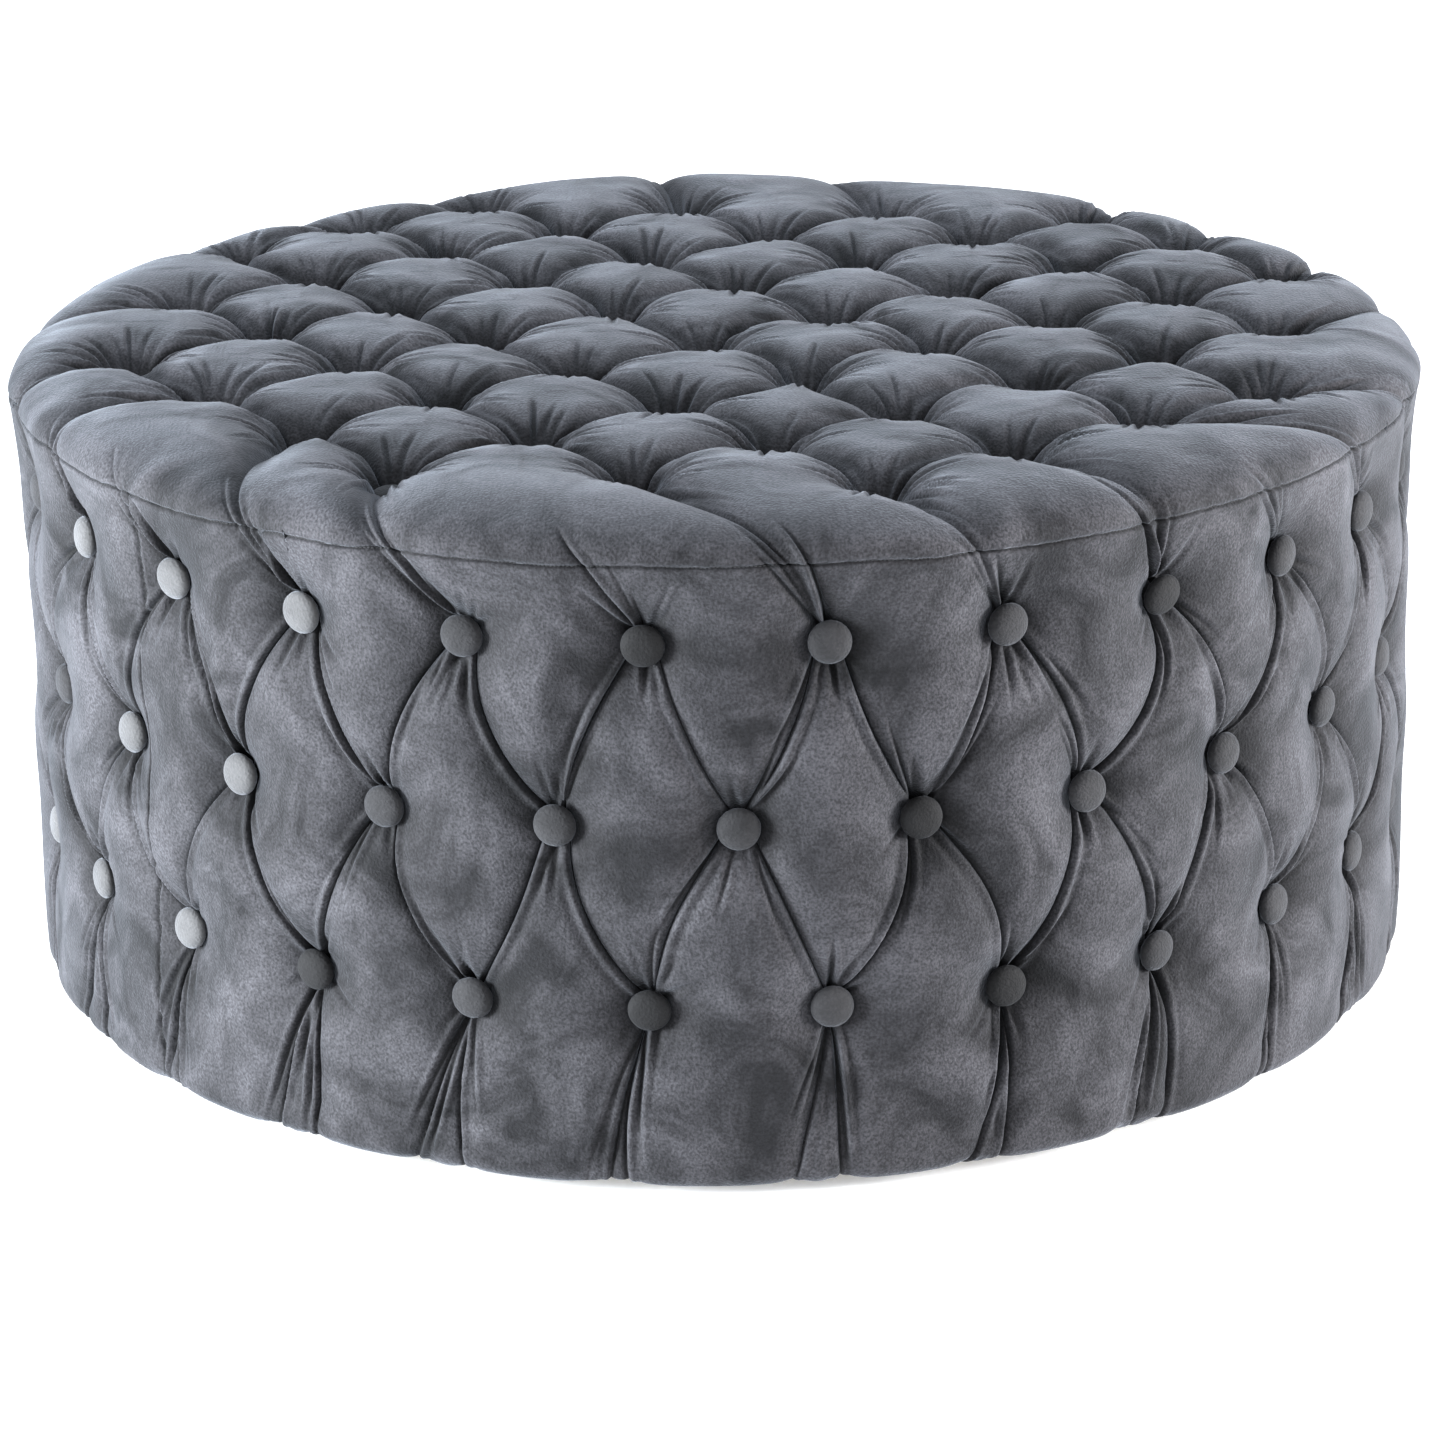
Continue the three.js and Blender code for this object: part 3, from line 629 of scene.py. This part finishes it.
def draw_in(points, normals, cloth=True):
    """How the tufting moves points of the crest surface: (new points, depth below the crest,
    depth of the folds alone). Foam, which isn't cloth, has no folds.

    The broad hollow is the fourth root of the summed fourth powers of every funnel,
    depth * exp(-(distance past the button) / spread), and every pleat valley,
    depth * exp(-distance / spread). The folds, puckers and seams add to it up to the crease
    limit, a pleat's lip leans over its crease, and all of it fades towards the hem.
    """
    shape = points.shape
    order, ordered, near = sorted_finder(points.reshape(-1, 3))
    facing = normals.reshape(-1, 3)[order]
    broad = np.zeros(len(ordered))
    fine = np.zeros(len(ordered))
    lean = np.zeros(ordered.shape)

    for centre, depth, spread in dimples:
        here = near(centre[None], 5 * spread)
        distance = np.linalg.norm(ordered[here] - centre, axis=1)
        broad[here] += (depth * np.exp(-np.maximum(distance - 10 * MM, 0.0) / spread)) ** 4
    for pleat in pleats:
        here = near(pleat["path"], 4 * pleat["spread"])
        distance, way, side, across, _ = follow(ordered[here], facing[here], pleat["path"])
        start, end = pleat["ends"]
        first, last = pleat["middle"]
        between = first + (last - first) * way
        depth = between + (start - between) * np.clip(1 - 2.4 * way, 0, 1) ** 2
        depth += (end - between) * np.clip(1 - pleat["climb"] * (1 - way), 0, 1) ** 2
        soft = np.sqrt(distance ** 2 + (1.5 * MM) ** 2) - 1.5 * MM
        broad[here] += (depth * np.exp(-soft / pleat["spread"])) ** 4
        height = pleat["height"] * (0.6 + 0.4 * np.sin(np.pi * way))
        if end == 0.0:
            height = height * (1 - way) ** 0.5
        past = (way <= 0) | (way >= 1)
        height = height * np.where(past, np.exp(-(distance - np.abs(side)) / (4 * MM)), 1.0)
        fine[here] += fold_depth(pleat["hand"] * side, height)
        over = np.exp(-((pleat["hand"] * side + 2.0 * MM) / (2.2 * MM)) ** 2)
        lean[here] += (0.55 * height * pleat["hand"] * over)[:, None] * across
    for fold in folds if cloth else ():
        here = near(fold["path"], 12 * MM)
        distance, way, side, _, _ = follow(ordered[here], facing[here], fold["path"])
        past = np.exp(-np.maximum(distance - np.abs(side), 0.0) / (2.5 * MM))
        height = fold["height"] * np.sin(np.pi * np.clip(0.3 + 0.7 * way, 0, 1)) ** 1.2 * past
        fine[here] += fold_depth(fold["hand"] * side, height)
    for pucker in puckers if cloth else ():
        here = near(pucker["path"], 4 * pucker["width"])
        distance, way, _, _, _ = follow(ordered[here], facing[here], pucker["path"])
        depth = pucker["depth"] * np.sin(np.pi * np.clip(0.25 + 0.75 * way, 0, 1)) ** 1.5
        x = distance / pucker["width"]
        fine[here] += depth * (np.exp(-x * x) - 0.45 * np.exp(-(x - 1.6) ** 2 / 0.8))

    turn = np.arctan2(ordered[:, 1], ordered[:, 0])
    radius = np.hypot(ordered[:, 0], ordered[:, 1])
    rise = ordered[:, 2] - SEAM_HEIGHT - seam_wander(turn)
    seam = seam_depth(rise) * (radius > SEAM_RADIUS - 6 * MM)
    for upright in upright_seams:
        stray = ((turn - upright + np.pi) % (2 * np.pi) - np.pi) * radius - seam_wander(ordered[:, 2] * 9)
        seam += 0.8 * seam_depth(stray) * (rise < 0)
    swell = np.sin(ordered @ swell_waves.T + swell_phases).mean(1) * 3.5 * MM
    hollow = broad ** 0.25
    fine = np.minimum(fine + seam, CREASE_LIMIT)
    depth = hollow + fine + swell * (1 - np.clip(hollow / (18 * MM), 0, 1))
    foot = np.clip((ordered[:, 2] - HEM_HEIGHT) / (30 * MM), 0.45, 1.0)
    depth = depth * foot
    moved = put_back(order, ordered - facing * depth[:, None] + lean * foot[:, None])
    drawn = put_back(order, depth)
    creased = put_back(order, fine + seam)
    return moved.reshape(shape), drawn.reshape(shape[:-1]), creased.reshape(shape[:-1])


# ---- Foam: the pads under the cover ----------------------------------------------------------
# Pale open-cell foam, wrapped in fibre. Two bands are bent round the wall skin, and a round pad
# lies on the top board. The buttons press the same hollows into them.

FINE = 1.0
EDGE = int(500 * FINE) // 2 * 2        # cells along each side of the top panel's square of cells
ROWS = int(230 * FINE)                 # cells from the hem to the rim seam
FOAM_EDGE = 100                        # the same for the foam, which is coarser
FOAM_ROWS = 40
UNDER_COVER = 11 * MM                  # from the velvet's face to the foam
FOAM_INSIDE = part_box("wall_skin_front")[1][0] + 0.5 * MM
FOAM_UNDERSIDE = 0.985                 # width of the top pad's underside as a share of its face's
board_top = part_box("top_board")[1][2]


def smooth_mesh(name, points, quads, marks=None):
    """A smooth-shaded mesh object from points, four-sided faces and per-point values."""
    mesh = bpy.data.meshes.new(name)
    mesh.vertices.add(len(points))
    mesh.vertices.foreach_set("co", points.astype(np.float32).ravel())
    mesh.loops.add(quads.size)
    mesh.loops.foreach_set("vertex_index", quads.astype(np.int32).ravel())
    mesh.polygons.add(len(quads))
    mesh.polygons.foreach_set("loop_start", np.arange(0, quads.size, quads.shape[1], dtype=np.int32))
    mesh.polygons.foreach_set("use_smooth", np.ones(len(quads), dtype=bool))
    for mark, values in (marks or {}).items():
        layer = mesh.attributes.new(mark, "FLOAT", "POINT")
        layer.data.foreach_set("value", values.astype(np.float32).ravel())
    mesh.update(calc_edges=True)
    mesh.validate()
    return placed(name, mesh)


def grid_quads(rows, columns):
    """Faces of a grid of points with the given number of points each way, row by row."""
    index = np.arange(rows * columns).reshape(rows, columns)
    corners = [index[:-1, :-1], index[:-1, 1:], index[1:, 1:], index[1:, :-1]]
    return np.stack(corners, axis=-1).reshape(-1, 4)


def closed_slab(name, outer, inner):
    """A closed solid between two grids of points of the same size, the outer one facing out."""
    rows, columns = outer.shape[:2]
    index = np.arange(rows * columns).reshape(rows, columns)
    count = rows * columns
    front = grid_quads(rows, columns)
    back = front[:, ::-1] + count
    rim = np.concatenate([index[0, :], index[1:, -1], index[-1, -2::-1], index[-2::-1, 0]])
    start, end = rim[:-1], rim[1:]
    wall = np.stack([end, start, start + count, end + count], axis=1)
    points = np.concatenate([outer.reshape(-1, 3), inner.reshape(-1, 3)])
    return smooth_mesh(name, points, np.concatenate([front, back, wall]))


def disc_places(edge):
    """A square of cells laid on a disc: the angle of each point and its share of the way from
    the middle to the edge. The share is the larger of its two distances from the middle of the
    square, and the angle runs evenly along each ring."""
    line = np.linspace(-1.0, 1.0, edge + 1)
    v, u = np.meshgrid(line, line, indexing="ij")
    flat = np.abs(u) >= np.abs(v)
    ring = np.where(flat, u, v)
    other = np.where(flat, v, u)
    share = np.divide(other, ring, out=np.zeros_like(ring), where=ring != 0)
    angle = np.where(flat, share * np.pi / 4, np.pi / 2 - share * np.pi / 4)
    angle = angle + np.where(ring < 0, np.pi, 0.0)
    return angle, np.abs(ring)


def foam_outside(angle, along):
    """The foam's outer surface: the drawn-in crest without its folds, set back under the cover."""
    points, normals = crest(angle, along)
    return draw_in(points, normals, cloth=False)[0] - normals * UNDER_COVER


def side_foam(name, first, last):
    """A foam band round half the wall skin, from the base to the top board."""
    angles = np.linspace(first, last, 2 * FOAM_EDGE + 1)
    alongs = np.linspace(along_at_height(HEM_HEIGHT + 14 * MM), along_at_height(board_top), FOAM_ROWS + 1)
    along, angle = np.meshgrid(alongs, angles, indexing="ij")
    outer = foam_outside(angle, along)
    inner = np.stack([FOAM_INSIDE * np.cos(angle), FOAM_INSIDE * np.sin(angle), outer[..., 2]], axis=-1)
    return closed_slab(name, outer, inner)


def top_foam(name):
    """The foam pad on the top board."""
    angle, share = disc_places(FOAM_EDGE)
    start = along_at_height(board_top + 10 * MM)
    outer = foam_outside(angle, POLE - (POLE - start) * share)
    inner = outer * np.array([FOAM_UNDERSIDE, FOAM_UNDERSIDE, 0.0])
    inner += np.array([0.0, 0.0, board_top + 0.5 * MM])
    return closed_slab(name, outer, inner)


seam_column = int(round((upright_seams[0] + 2 * np.pi) / (2 * np.pi) * 4 * EDGE))
seam_turn = seam_column * 2 * np.pi / (4 * EDGE)
foam_stuff = speckled_material("foam", 0.9, (0.62, 0.52, 0.30), (0.83, 0.75, 0.50), 420.0, 0.8, 0.8 * MM)
for pad, node in ((side_foam("foam_front", seam_turn, seam_turn + np.pi), "side_foam_front"),
                  (side_foam("foam_back", seam_turn + np.pi, seam_turn + 2 * np.pi), "side_foam_back"),
                  (top_foam("foam_top"), "top_foam")):
    pad.data.materials.append(foam_stuff)
    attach(pad, "root")
    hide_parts(node)


# ---- Cover: velvet panels over the padding ---------------------------------------------------
# Cut velvet, in two side panels joined by upright seams and one round top panel. All are drawn
# in by the same tufting, so the pleats run on unbroken across the rim seam.


def closing_in(share, reach):
    """A share of the way that starts slowly, so that the cells are small at the start: the way
    less 0.62 of an exponential rise within the reach, over its value at the end."""
    slowed = share - 0.62 * reach * (1 - np.exp(-share / reach))
    return slowed / (1 - 0.62 * reach)


def pressed_pile(points):
    """How much painted shade lies on each point, from 0 to 1: the sum over the patches of painted shade of
    strength * exp(-(distance / reach) ** 2)."""
    order, ordered, near = sorted_finder(points.reshape(-1, 3))
    pressed = np.zeros(len(ordered))
    for centre, reach, strength in shade_patches:
        here = near(centre[None], 2.5 * reach)
        square = ((ordered[here] - centre) ** 2).sum(-1)
        pressed[here] += strength * np.exp(-square / reach ** 2)
    return put_back(order, np.clip(pressed, 0.0, 1.0))


def velvet_panel(name, angle, along, deepest):
    """A panel of the cover over a grid of (angle, along) places, with its deepest hollow given."""
    flat, normals = crest(angle, along)
    points, depth, crease = draw_in(gathered(flat, normals), normals)
    # the marks darken the velvet as painted shade: by the hollow's depth, the creases' depth and the shade
    # patches
    marks = {"drawn": depth / deepest, "creased": crease, "pressed": pressed_pile(flat)}
    return smooth_mesh(name, points.reshape(-1, 3), grid_quads(*angle.shape), marks)


def side_panel(name, first):
    """A velvet side panel over half the drum from a column of cells, from hem to rim seam."""
    angles = np.arange(first, first + 2 * EDGE + 1) * 2 * np.pi / (4 * EDGE)
    alongs = HEM * closing_in(np.linspace(1.0, 0.0, ROWS + 1), 0.03)
    along, angle = np.meshgrid(alongs, angles, indexing="ij")
    return velvet_panel(name, angle, along, SIDE_DEPTH)


def top_panel(name):
    """The round velvet top panel, from the rim seam to the middle."""
    angle, share = disc_places(EDGE)
    return velvet_panel(name, angle, POLE * closing_in(1 - share, 0.03), FIELD_DEPTH)


# velvet nap: brushed patches, where the pile lies this way or that, and the grain of its tufts
velvet_nap, nap_in, nap_out = new_effect(
    "velvet_nap", {"Vector": None, "Patch Scale": 15.0, "Patch Tilt": 9 * MM, "Pile Scale": 560.0},
    {"Patch": "NodeSocketFloat", "Pile": "NodeSocketFloat", "Normal": "NodeSocketVector"})
patch = add_node(velvet_nap, "TexNoise", Vector=nap_in["Vector"], Scale=nap_in["Patch Scale"],
                 Detail=5.0, Roughness=0.6, Distortion=0.9)
brush = add_node(velvet_nap, "TexNoise", Vector=nap_in["Vector"], Scale=nap_in["Patch Scale"],
                 Detail=1.5, Roughness=0.45, Distortion=0.4)
pile = add_node(velvet_nap, "TexNoise", Vector=nap_in["Vector"], Scale=nap_in["Pile Scale"],
                Detail=1.0, Roughness=0.5)
tilt = bumped(velvet_nap, brush.outputs["Fac"], nap_in["Patch Tilt"])
tufts = bumped(velvet_nap, pile.outputs["Fac"], 0.55 * MM, onto=tilt)
velvet_nap.links.new(patch.outputs["Fac"], nap_out["Patch"])
velvet_nap.links.new(pile.outputs["Fac"], nap_out["Pile"])
velvet_nap.links.new(tufts, nap_out["Normal"])


def scaled(tree, value, from_low, from_high, to_low, to_high):
    """The output of a Map Range node on a value."""
    node = add_node(tree, "MapRange", Value=value, From_Min=from_low, From_Max=from_high, To_Min=to_low,
                    To_Max=to_high)
    return node.outputs["Result"]


def velvet_material(name, dark, light, patch_tilt, grain, sheen):
    """Velvet: a dark ground under a soft sheen. Its tone follows the nap, by up to the grain from tuft to
    tuft, and shade is painted into it: darker where the cloth is drawn in, darker in the patches of
    painted shade beside the side buttons, and darkest down in the creases."""
    material, tree, shader = new_material(name, 0.8)
    place = add_node(tree, "TexCoord").outputs["Object"]
    nap = place_effect(tree, velvet_nap, Vector=place, Patch_Tilt=patch_tilt)
    grain_and_shade = scaled(tree, nap.outputs["Pile"], 0.3, 0.7, 1 - grain, 1 + grain)
    # painted shade: the ground darkens with the depth of the hollow, the depth of the creases and the
    # patches of shade beside the side buttons
    for mark, low, high, darkest in (("drawn", 0.25, 1.0, 0.5), ("creased", 0.4 * MM, 3 * MM, 0.35),
                                     ("pressed", 0.0, 1.0, 0.25)):
        marked = tree.nodes.new("ShaderNodeAttribute")
        marked.attribute_name = mark
        shadow = scaled(tree, marked.outputs["Fac"], low, high, 1.0, darkest)
        grain_and_shade = calculate(tree, "MULTIPLY", grain_and_shade, shadow)
    mixed = tree.nodes.new("ShaderNodeMix")
    mixed.data_type = "RGBA"
    mixed.blend_type = "MULTIPLY"
    ground = colour_between(tree, nap.outputs["Patch"], dark, light, 0.36, 0.64)
    fill_inputs(tree, mixed, Factor=1.0, A=ground, B=grain_and_shade)
    fill_inputs(tree, shader, Base_Color=mixed.outputs["Result"], Normal=nap.outputs["Normal"],
                Specular_IOR_Level=0.15, Sheen_Weight=sheen, Sheen_Roughness=0.42,
                Sheen_Tint=(0.74, 0.81, 0.94, 1))
    return material


velvet = velvet_material("grey_velvet", (0.0066, 0.0066, 0.0078), (0.0390, 0.0383, 0.0437),
                         8 * MM, 0.45, 0.19)
for panel, node in ((side_panel("velvet_side_front", seam_column), "side_cover_front"),
                    (side_panel("velvet_side_back", seam_column + 2 * EDGE), "side_cover_back"),
                    (top_panel("velvet_top"), "top_cover")):
    panel.data.materials.append(velvet)
    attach(panel, "root")
    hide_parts(node)


# ---- Stitching: dark thread in the rim seam and the upright seams ----------------------------
# Lockstitch, about four stitches to the centimetre. The seams are closed edge to edge from
# behind, so only short dashes of thread show between the tufts, down in the seam.

STITCH_STEP = 2.6 * MM
STITCH_LENGTH = 1.7 * MM
THREAD_RADIUS = 0.28 * MM


def small_piece(name, points, faces):
    """A smooth-shaded mesh object from points and a list of three- and four-sided faces."""
    mesh = bpy.data.meshes.new(name)
    mesh.from_pydata(points.tolist(), [], faces)
    mesh.polygons.foreach_set("use_smooth", np.ones(len(mesh.polygons), dtype=bool))
    return placed(name, mesh)


def stitches(name, angles, alongs, upright):
    """Short stitches at (angle, along) places: three rings of six points each, the end ones
    half as wide, round the line of the seam, with a point at either tip."""
    offset = np.array([-0.6, -0.45, 0.0, 0.45, 0.6]) * STITCH_LENGTH
    angle = angles[:, None] + (0 if upright else offset / SEAM_RADIUS)
    along = alongs[:, None] + (offset if upright else 0)
    flat, normals = crest(*np.broadcast_arrays(angle, along))
    line = draw_in(flat, normals)[0] + normals * 0.35 * MM
    way = line[:, 4] - line[:, 0]
    way /= np.linalg.norm(way, axis=1)[:, None]
    out = normals[:, 2]
    across = np.cross(way, out)
    turns = np.arange(6) * np.pi / 3
    ring = (np.cos(turns)[:, None] * across[:, None] + np.sin(turns)[:, None] * out[:, None])
    rings = [line[:, k + 1, None] + ring * THREAD_RADIUS * size for k, size in enumerate((0.6, 1.0, 0.6))]
    shapes = np.concatenate([line[:, :1], *rings, line[:, 4:]], axis=1)
    around = np.arange(6)
    after = (around + 1) % 6
    tubes = [np.stack([1 + around + lift, 1 + after + lift, 7 + after + lift, 7 + around + lift], axis=1)
             for lift in (0, 6)]
    start = np.arange(len(angles))[:, None, None] * shapes.shape[1]
    walls = (np.concatenate(tubes) + start).reshape(-1, 4)
    near_tip = np.stack([np.zeros(6, dtype=int), 1 + after, 1 + around], axis=1)
    far_tip = np.stack([np.full(6, 19), 13 + around, 13 + after], axis=1)
    tips = (np.concatenate([near_tip, far_tip]) + start).reshape(-1, 3)
    return small_piece(name, shapes.reshape(-1, 3), walls.tolist() + tips.tolist())


thread = speckled_material("sewing_thread", 0.8, (0.012, 0.012, 0.014), (0.024, 0.025, 0.028), 2500.0, 0.0,
                           0.1 * MM)
rim_turns = np.arange(0.0, 2 * np.pi, STITCH_STEP / SEAM_RADIUS)
upright_alongs = np.arange(HEM + 30 * MM, -5 * MM, STITCH_STEP)
upright_strays = seam_wander((SEAM_HEIGHT + upright_alongs) * 9) / SEAM_RADIUS
sewn = [stitches("rim_stitching", rim_turns, seam_wander(rim_turns), False)]
for side, upright in zip(("left", "right"), upright_seams):
    sewn.append(stitches(f"{side}_seam_stitching", upright + upright_strays, upright_alongs, True))
for piece in sewn:
    piece.data.materials.append(thread)
    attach(piece, "root")


# ---- Buttons: velvet-covered shells on tufting twine -----------------------------------------
# A domed metal shell with the same velvet drawn over it. Each is tied down into its hollow, so
# only the dome and its rolled edge show.

BUTTON_SINK = 13 * MM       # how far a side button's edge lies in from the crest
FIELD_SINK = 30 * MM        # the same for the top's buttons
BUTTON_TURNS = 40
# numbers of the buttons whose nap lies flat and dark, and of those at the left, where the left lamp falls,
# that get a pale velvet as painted light, in each row
DARK_BUTTONS = {"upper": (4, 7, 17), "middle": (5, 12, 20), "lower": (2, 4, 6, 14)}
LIT_PALE_BUTTONS = {"upper": (0, 1, 2), "middle": (0, 1), "lower": (0, 1, 25)}


def button_shape():
    """Points of one button in its own frame, +Z out: the radius swells as the sine of the way
    from the crown to the 0.82, then turns in under the edge, and the dome falls as the cosine
    to the 0.9. Fine gathers run in from the edge."""
    bend = np.linspace(0.0, 1.22 * np.pi / 2, 15)
    past = np.clip(bend - np.pi / 2, 0.0, None)
    over = np.minimum(bend, np.pi / 2)
    radius = BUTTON_RADIUS * np.sin(over) ** 0.82 * (1 - 0.46 * past)
    height = 7.2 * MM * np.cos(over) ** 0.9 - 9 * MM * past
    turns = np.linspace(0, 2 * np.pi, BUTTON_TURNS, endpoint=False)
    gathers = 0.35 * MM * np.sin(17 * turns + 2.1 * np.sin(3 * turns))
    gathers = gathers * (np.clip(bend / 1.9, 0, 1) ** 4)[:, None]
    rings = [np.outer(radius, np.cos(turns)), np.outer(radius, np.sin(turns)), height[:, None] + gathers]
    rings = np.stack(rings, axis=-1)[1:].reshape(-1, 3)
    return np.concatenate([[[0, 0, height[0]]], rings, [[0, 0, height[-1]]]])


def button_faces(shape):
    """Faces of a button: a fan at the crown, rings of four-sided faces, and a fan underneath."""
    around = np.arange(BUTTON_TURNS)
    after = (around + 1) % BUTTON_TURNS
    ring_count = (len(shape) - 2) // BUTTON_TURNS
    start = 1 + BUTTON_TURNS * np.arange(ring_count - 1)[:, None]
    below = start + BUTTON_TURNS
    walls = np.stack([start + around, below + around, below + after, start + after], axis=-1)
    crown = np.stack([np.zeros_like(around), 1 + around, 1 + after], axis=-1)
    last = 1 + BUTTON_TURNS * (ring_count - 1)
    under = np.stack([last + around, np.full_like(around, len(shape) - 1), last + after], axis=-1)
    return walls.reshape(-1, 4), np.concatenate([crown, under])


one_button = button_shape()
button_walls, button_fans = button_faces(one_button)


def button_row(name, centres, outs, tones):
    """All the buttons of a row as one mesh. outs are the directions that they face, each with a
    small random tilt and turn, and tones are the numbers of their finishes in button_velvets."""
    points, faces = [], []
    for centre, out in zip(centres, outs):
        out = Vector(out) + Vector(rng.normal(0, 0.06, 3))
        facing = out.normalized().to_track_quat("Z", "Y").to_matrix()
        facing = np.array(facing @ Matrix.Rotation(rng.uniform(0, 2 * np.pi), 3, "Z"))
        start = len(points) * len(one_button)
        faces += (button_walls + start).tolist() + (button_fans + start).tolist()
        points.append(one_button @ facing.T + centre)
    piece = small_piece(name, np.concatenate(points), faces)
    for finish in button_velvets:
        piece.data.materials.append(finish)
    faces_each = len(button_walls) + len(button_fans)
    piece.data.polygons.foreach_set("material_index", np.repeat(tones, faces_each).astype(np.int32))
    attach(piece, "root")
    return piece


button_velvets = [
    velvet_material("button_velvet_flat", (0.006, 0.006, 0.0065), (0.011, 0.011, 0.012),
                    3 * MM, 0.15, 0.04),
    velvet_material("button_velvet", (0.010, 0.010, 0.011), (0.026, 0.0258, 0.028), 5 * MM, 0.15, 0.13),
    # painted light: a pale copy of the button velvet, for the buttons round at the left where the left
    # lamp falls
    velvet_material("button_velvet_painted_lit", (0.058, 0.058, 0.060), (0.080, 0.080, 0.083),
                    5 * MM, 0.08, 0.25),
]
for name, row_angles, row_along in side_rows:
    tones = np.ones(BUTTONS_ROUND, dtype=int)
    tones[list(DARK_BUTTONS[name])] = 0
    # the buttons at the left take the pale velvet, as painted light
    tones[list(LIT_PALE_BUTTONS[name])] = 2
    centres, outs = crest(row_angles, np.full(row_angles.shape, row_along))
    row = button_row(f"{name}_side_buttons", centres - outs * BUTTON_SINK, outs, tones)
    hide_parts(f"side_buttons_{name}")
for j, row in enumerate(field_rows):
    centres, _ = crest(*over_top(row))
    outs = np.tile([0.0, 0.0, 1.0], (len(row), 1))
    tones = np.ones(len(row), dtype=int)
    piece = button_row(f"top_buttons_{j + 1}", centres - outs * FIELD_SINK, outs, tones)
    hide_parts(f"top_buttons_row_{j + 1}")


# ---- Underside: tacking strip, dust cover and glides -----------------------------------------
# A card strip clamps the hem under the base ring, black non-woven cloth closes the bottom, and
# six nailed plastic glides carry the ottoman.

tack_card = speckled_material("tack_card", 0.8, (0.40, 0.33, 0.22), (0.56, 0.48, 0.36), 700.0, 0.15,
                              0.1 * MM)
cambric = speckled_material("cambric", 0.95, (0.018, 0.018, 0.02), (0.045, 0.045, 0.05), 900.0, 0.6,
                            0.25 * MM)
glide_plastic = speckled_material("glide_plastic", 0.42, (0.02, 0.02, 0.021), (0.03, 0.03, 0.031), 1500.0,
                                  0.3, 0.04 * MM)
finish_nodes(tack_card, ["tack_strip"])
finish_nodes(cambric, ["dust_cover"])
finish_nodes(glide_plastic, [f"glide_{k}" for k in range(1, 7)])


# ---- Floor, lights and sky ------------------------------------------------------------------
# A white studio floor under an even white sky. The lamps are square and soft: one low at either
# side, which rakes across the pleats, and a cooler one overhead.

REACH = 14                  # metres from the middle of the floor to its edges
floor_mesh = bpy.data.meshes.new("floor")
floor_corners = [(-REACH, -REACH, 0), (REACH, -REACH, 0), (REACH, REACH, 0), (-REACH, REACH, 0)]
floor_mesh.from_pydata(floor_corners, [], [(0, 1, 2, 3)])
floor = placed("floor", floor_mesh)
floor_material, floor_tree, floor_shader = new_material("pale_floor", 0.9)
fill_inputs(floor_tree, floor_shader, Base_Color=(0.9, 0.9, 0.9, 1), Emission_Color=(1, 1, 1, 1),
            Emission_Strength=0.25)
floor.data.materials.append(floor_material)


def soft_light(name, place, aim, size, power, colour=(1.0, 1.0, 1.0)):
    """A square area light that faces a point."""
    data = bpy.data.lights.new(name, "AREA")
    data.shape = "SQUARE"
    data.size = size
    data.energy = power
    data.color = colour
    light = placed(name, data)
    light.location = place
    light.rotation_euler = (Vector(aim) - Vector(place)).to_track_quat("-Z", "Y").to_euler()


soft_light("left_lamp", (-3.0, -1.2, 0.55), (0, 0, 0.2), 1.1, 500, (0.92, 0.97, 1.0))
soft_light("right_lamp", (3.0, -0.7, 0.6), (0, 0, 0.2), 1.0, 300)
soft_light("top_lamp", (-0.3, 0.8, 3.2), (0, 0, 0.4), 2.2, 130, (0.76, 0.88, 1.0))

world = bpy.data.worlds.new("sky")
world.use_nodes = True
fill_inputs(world.node_tree, world.node_tree.nodes["Background"], Color=(1, 1, 1, 1), Strength=1.0)
bpy.context.scene.world = world
bpy.context.scene.view_settings.view_transform = "Standard"
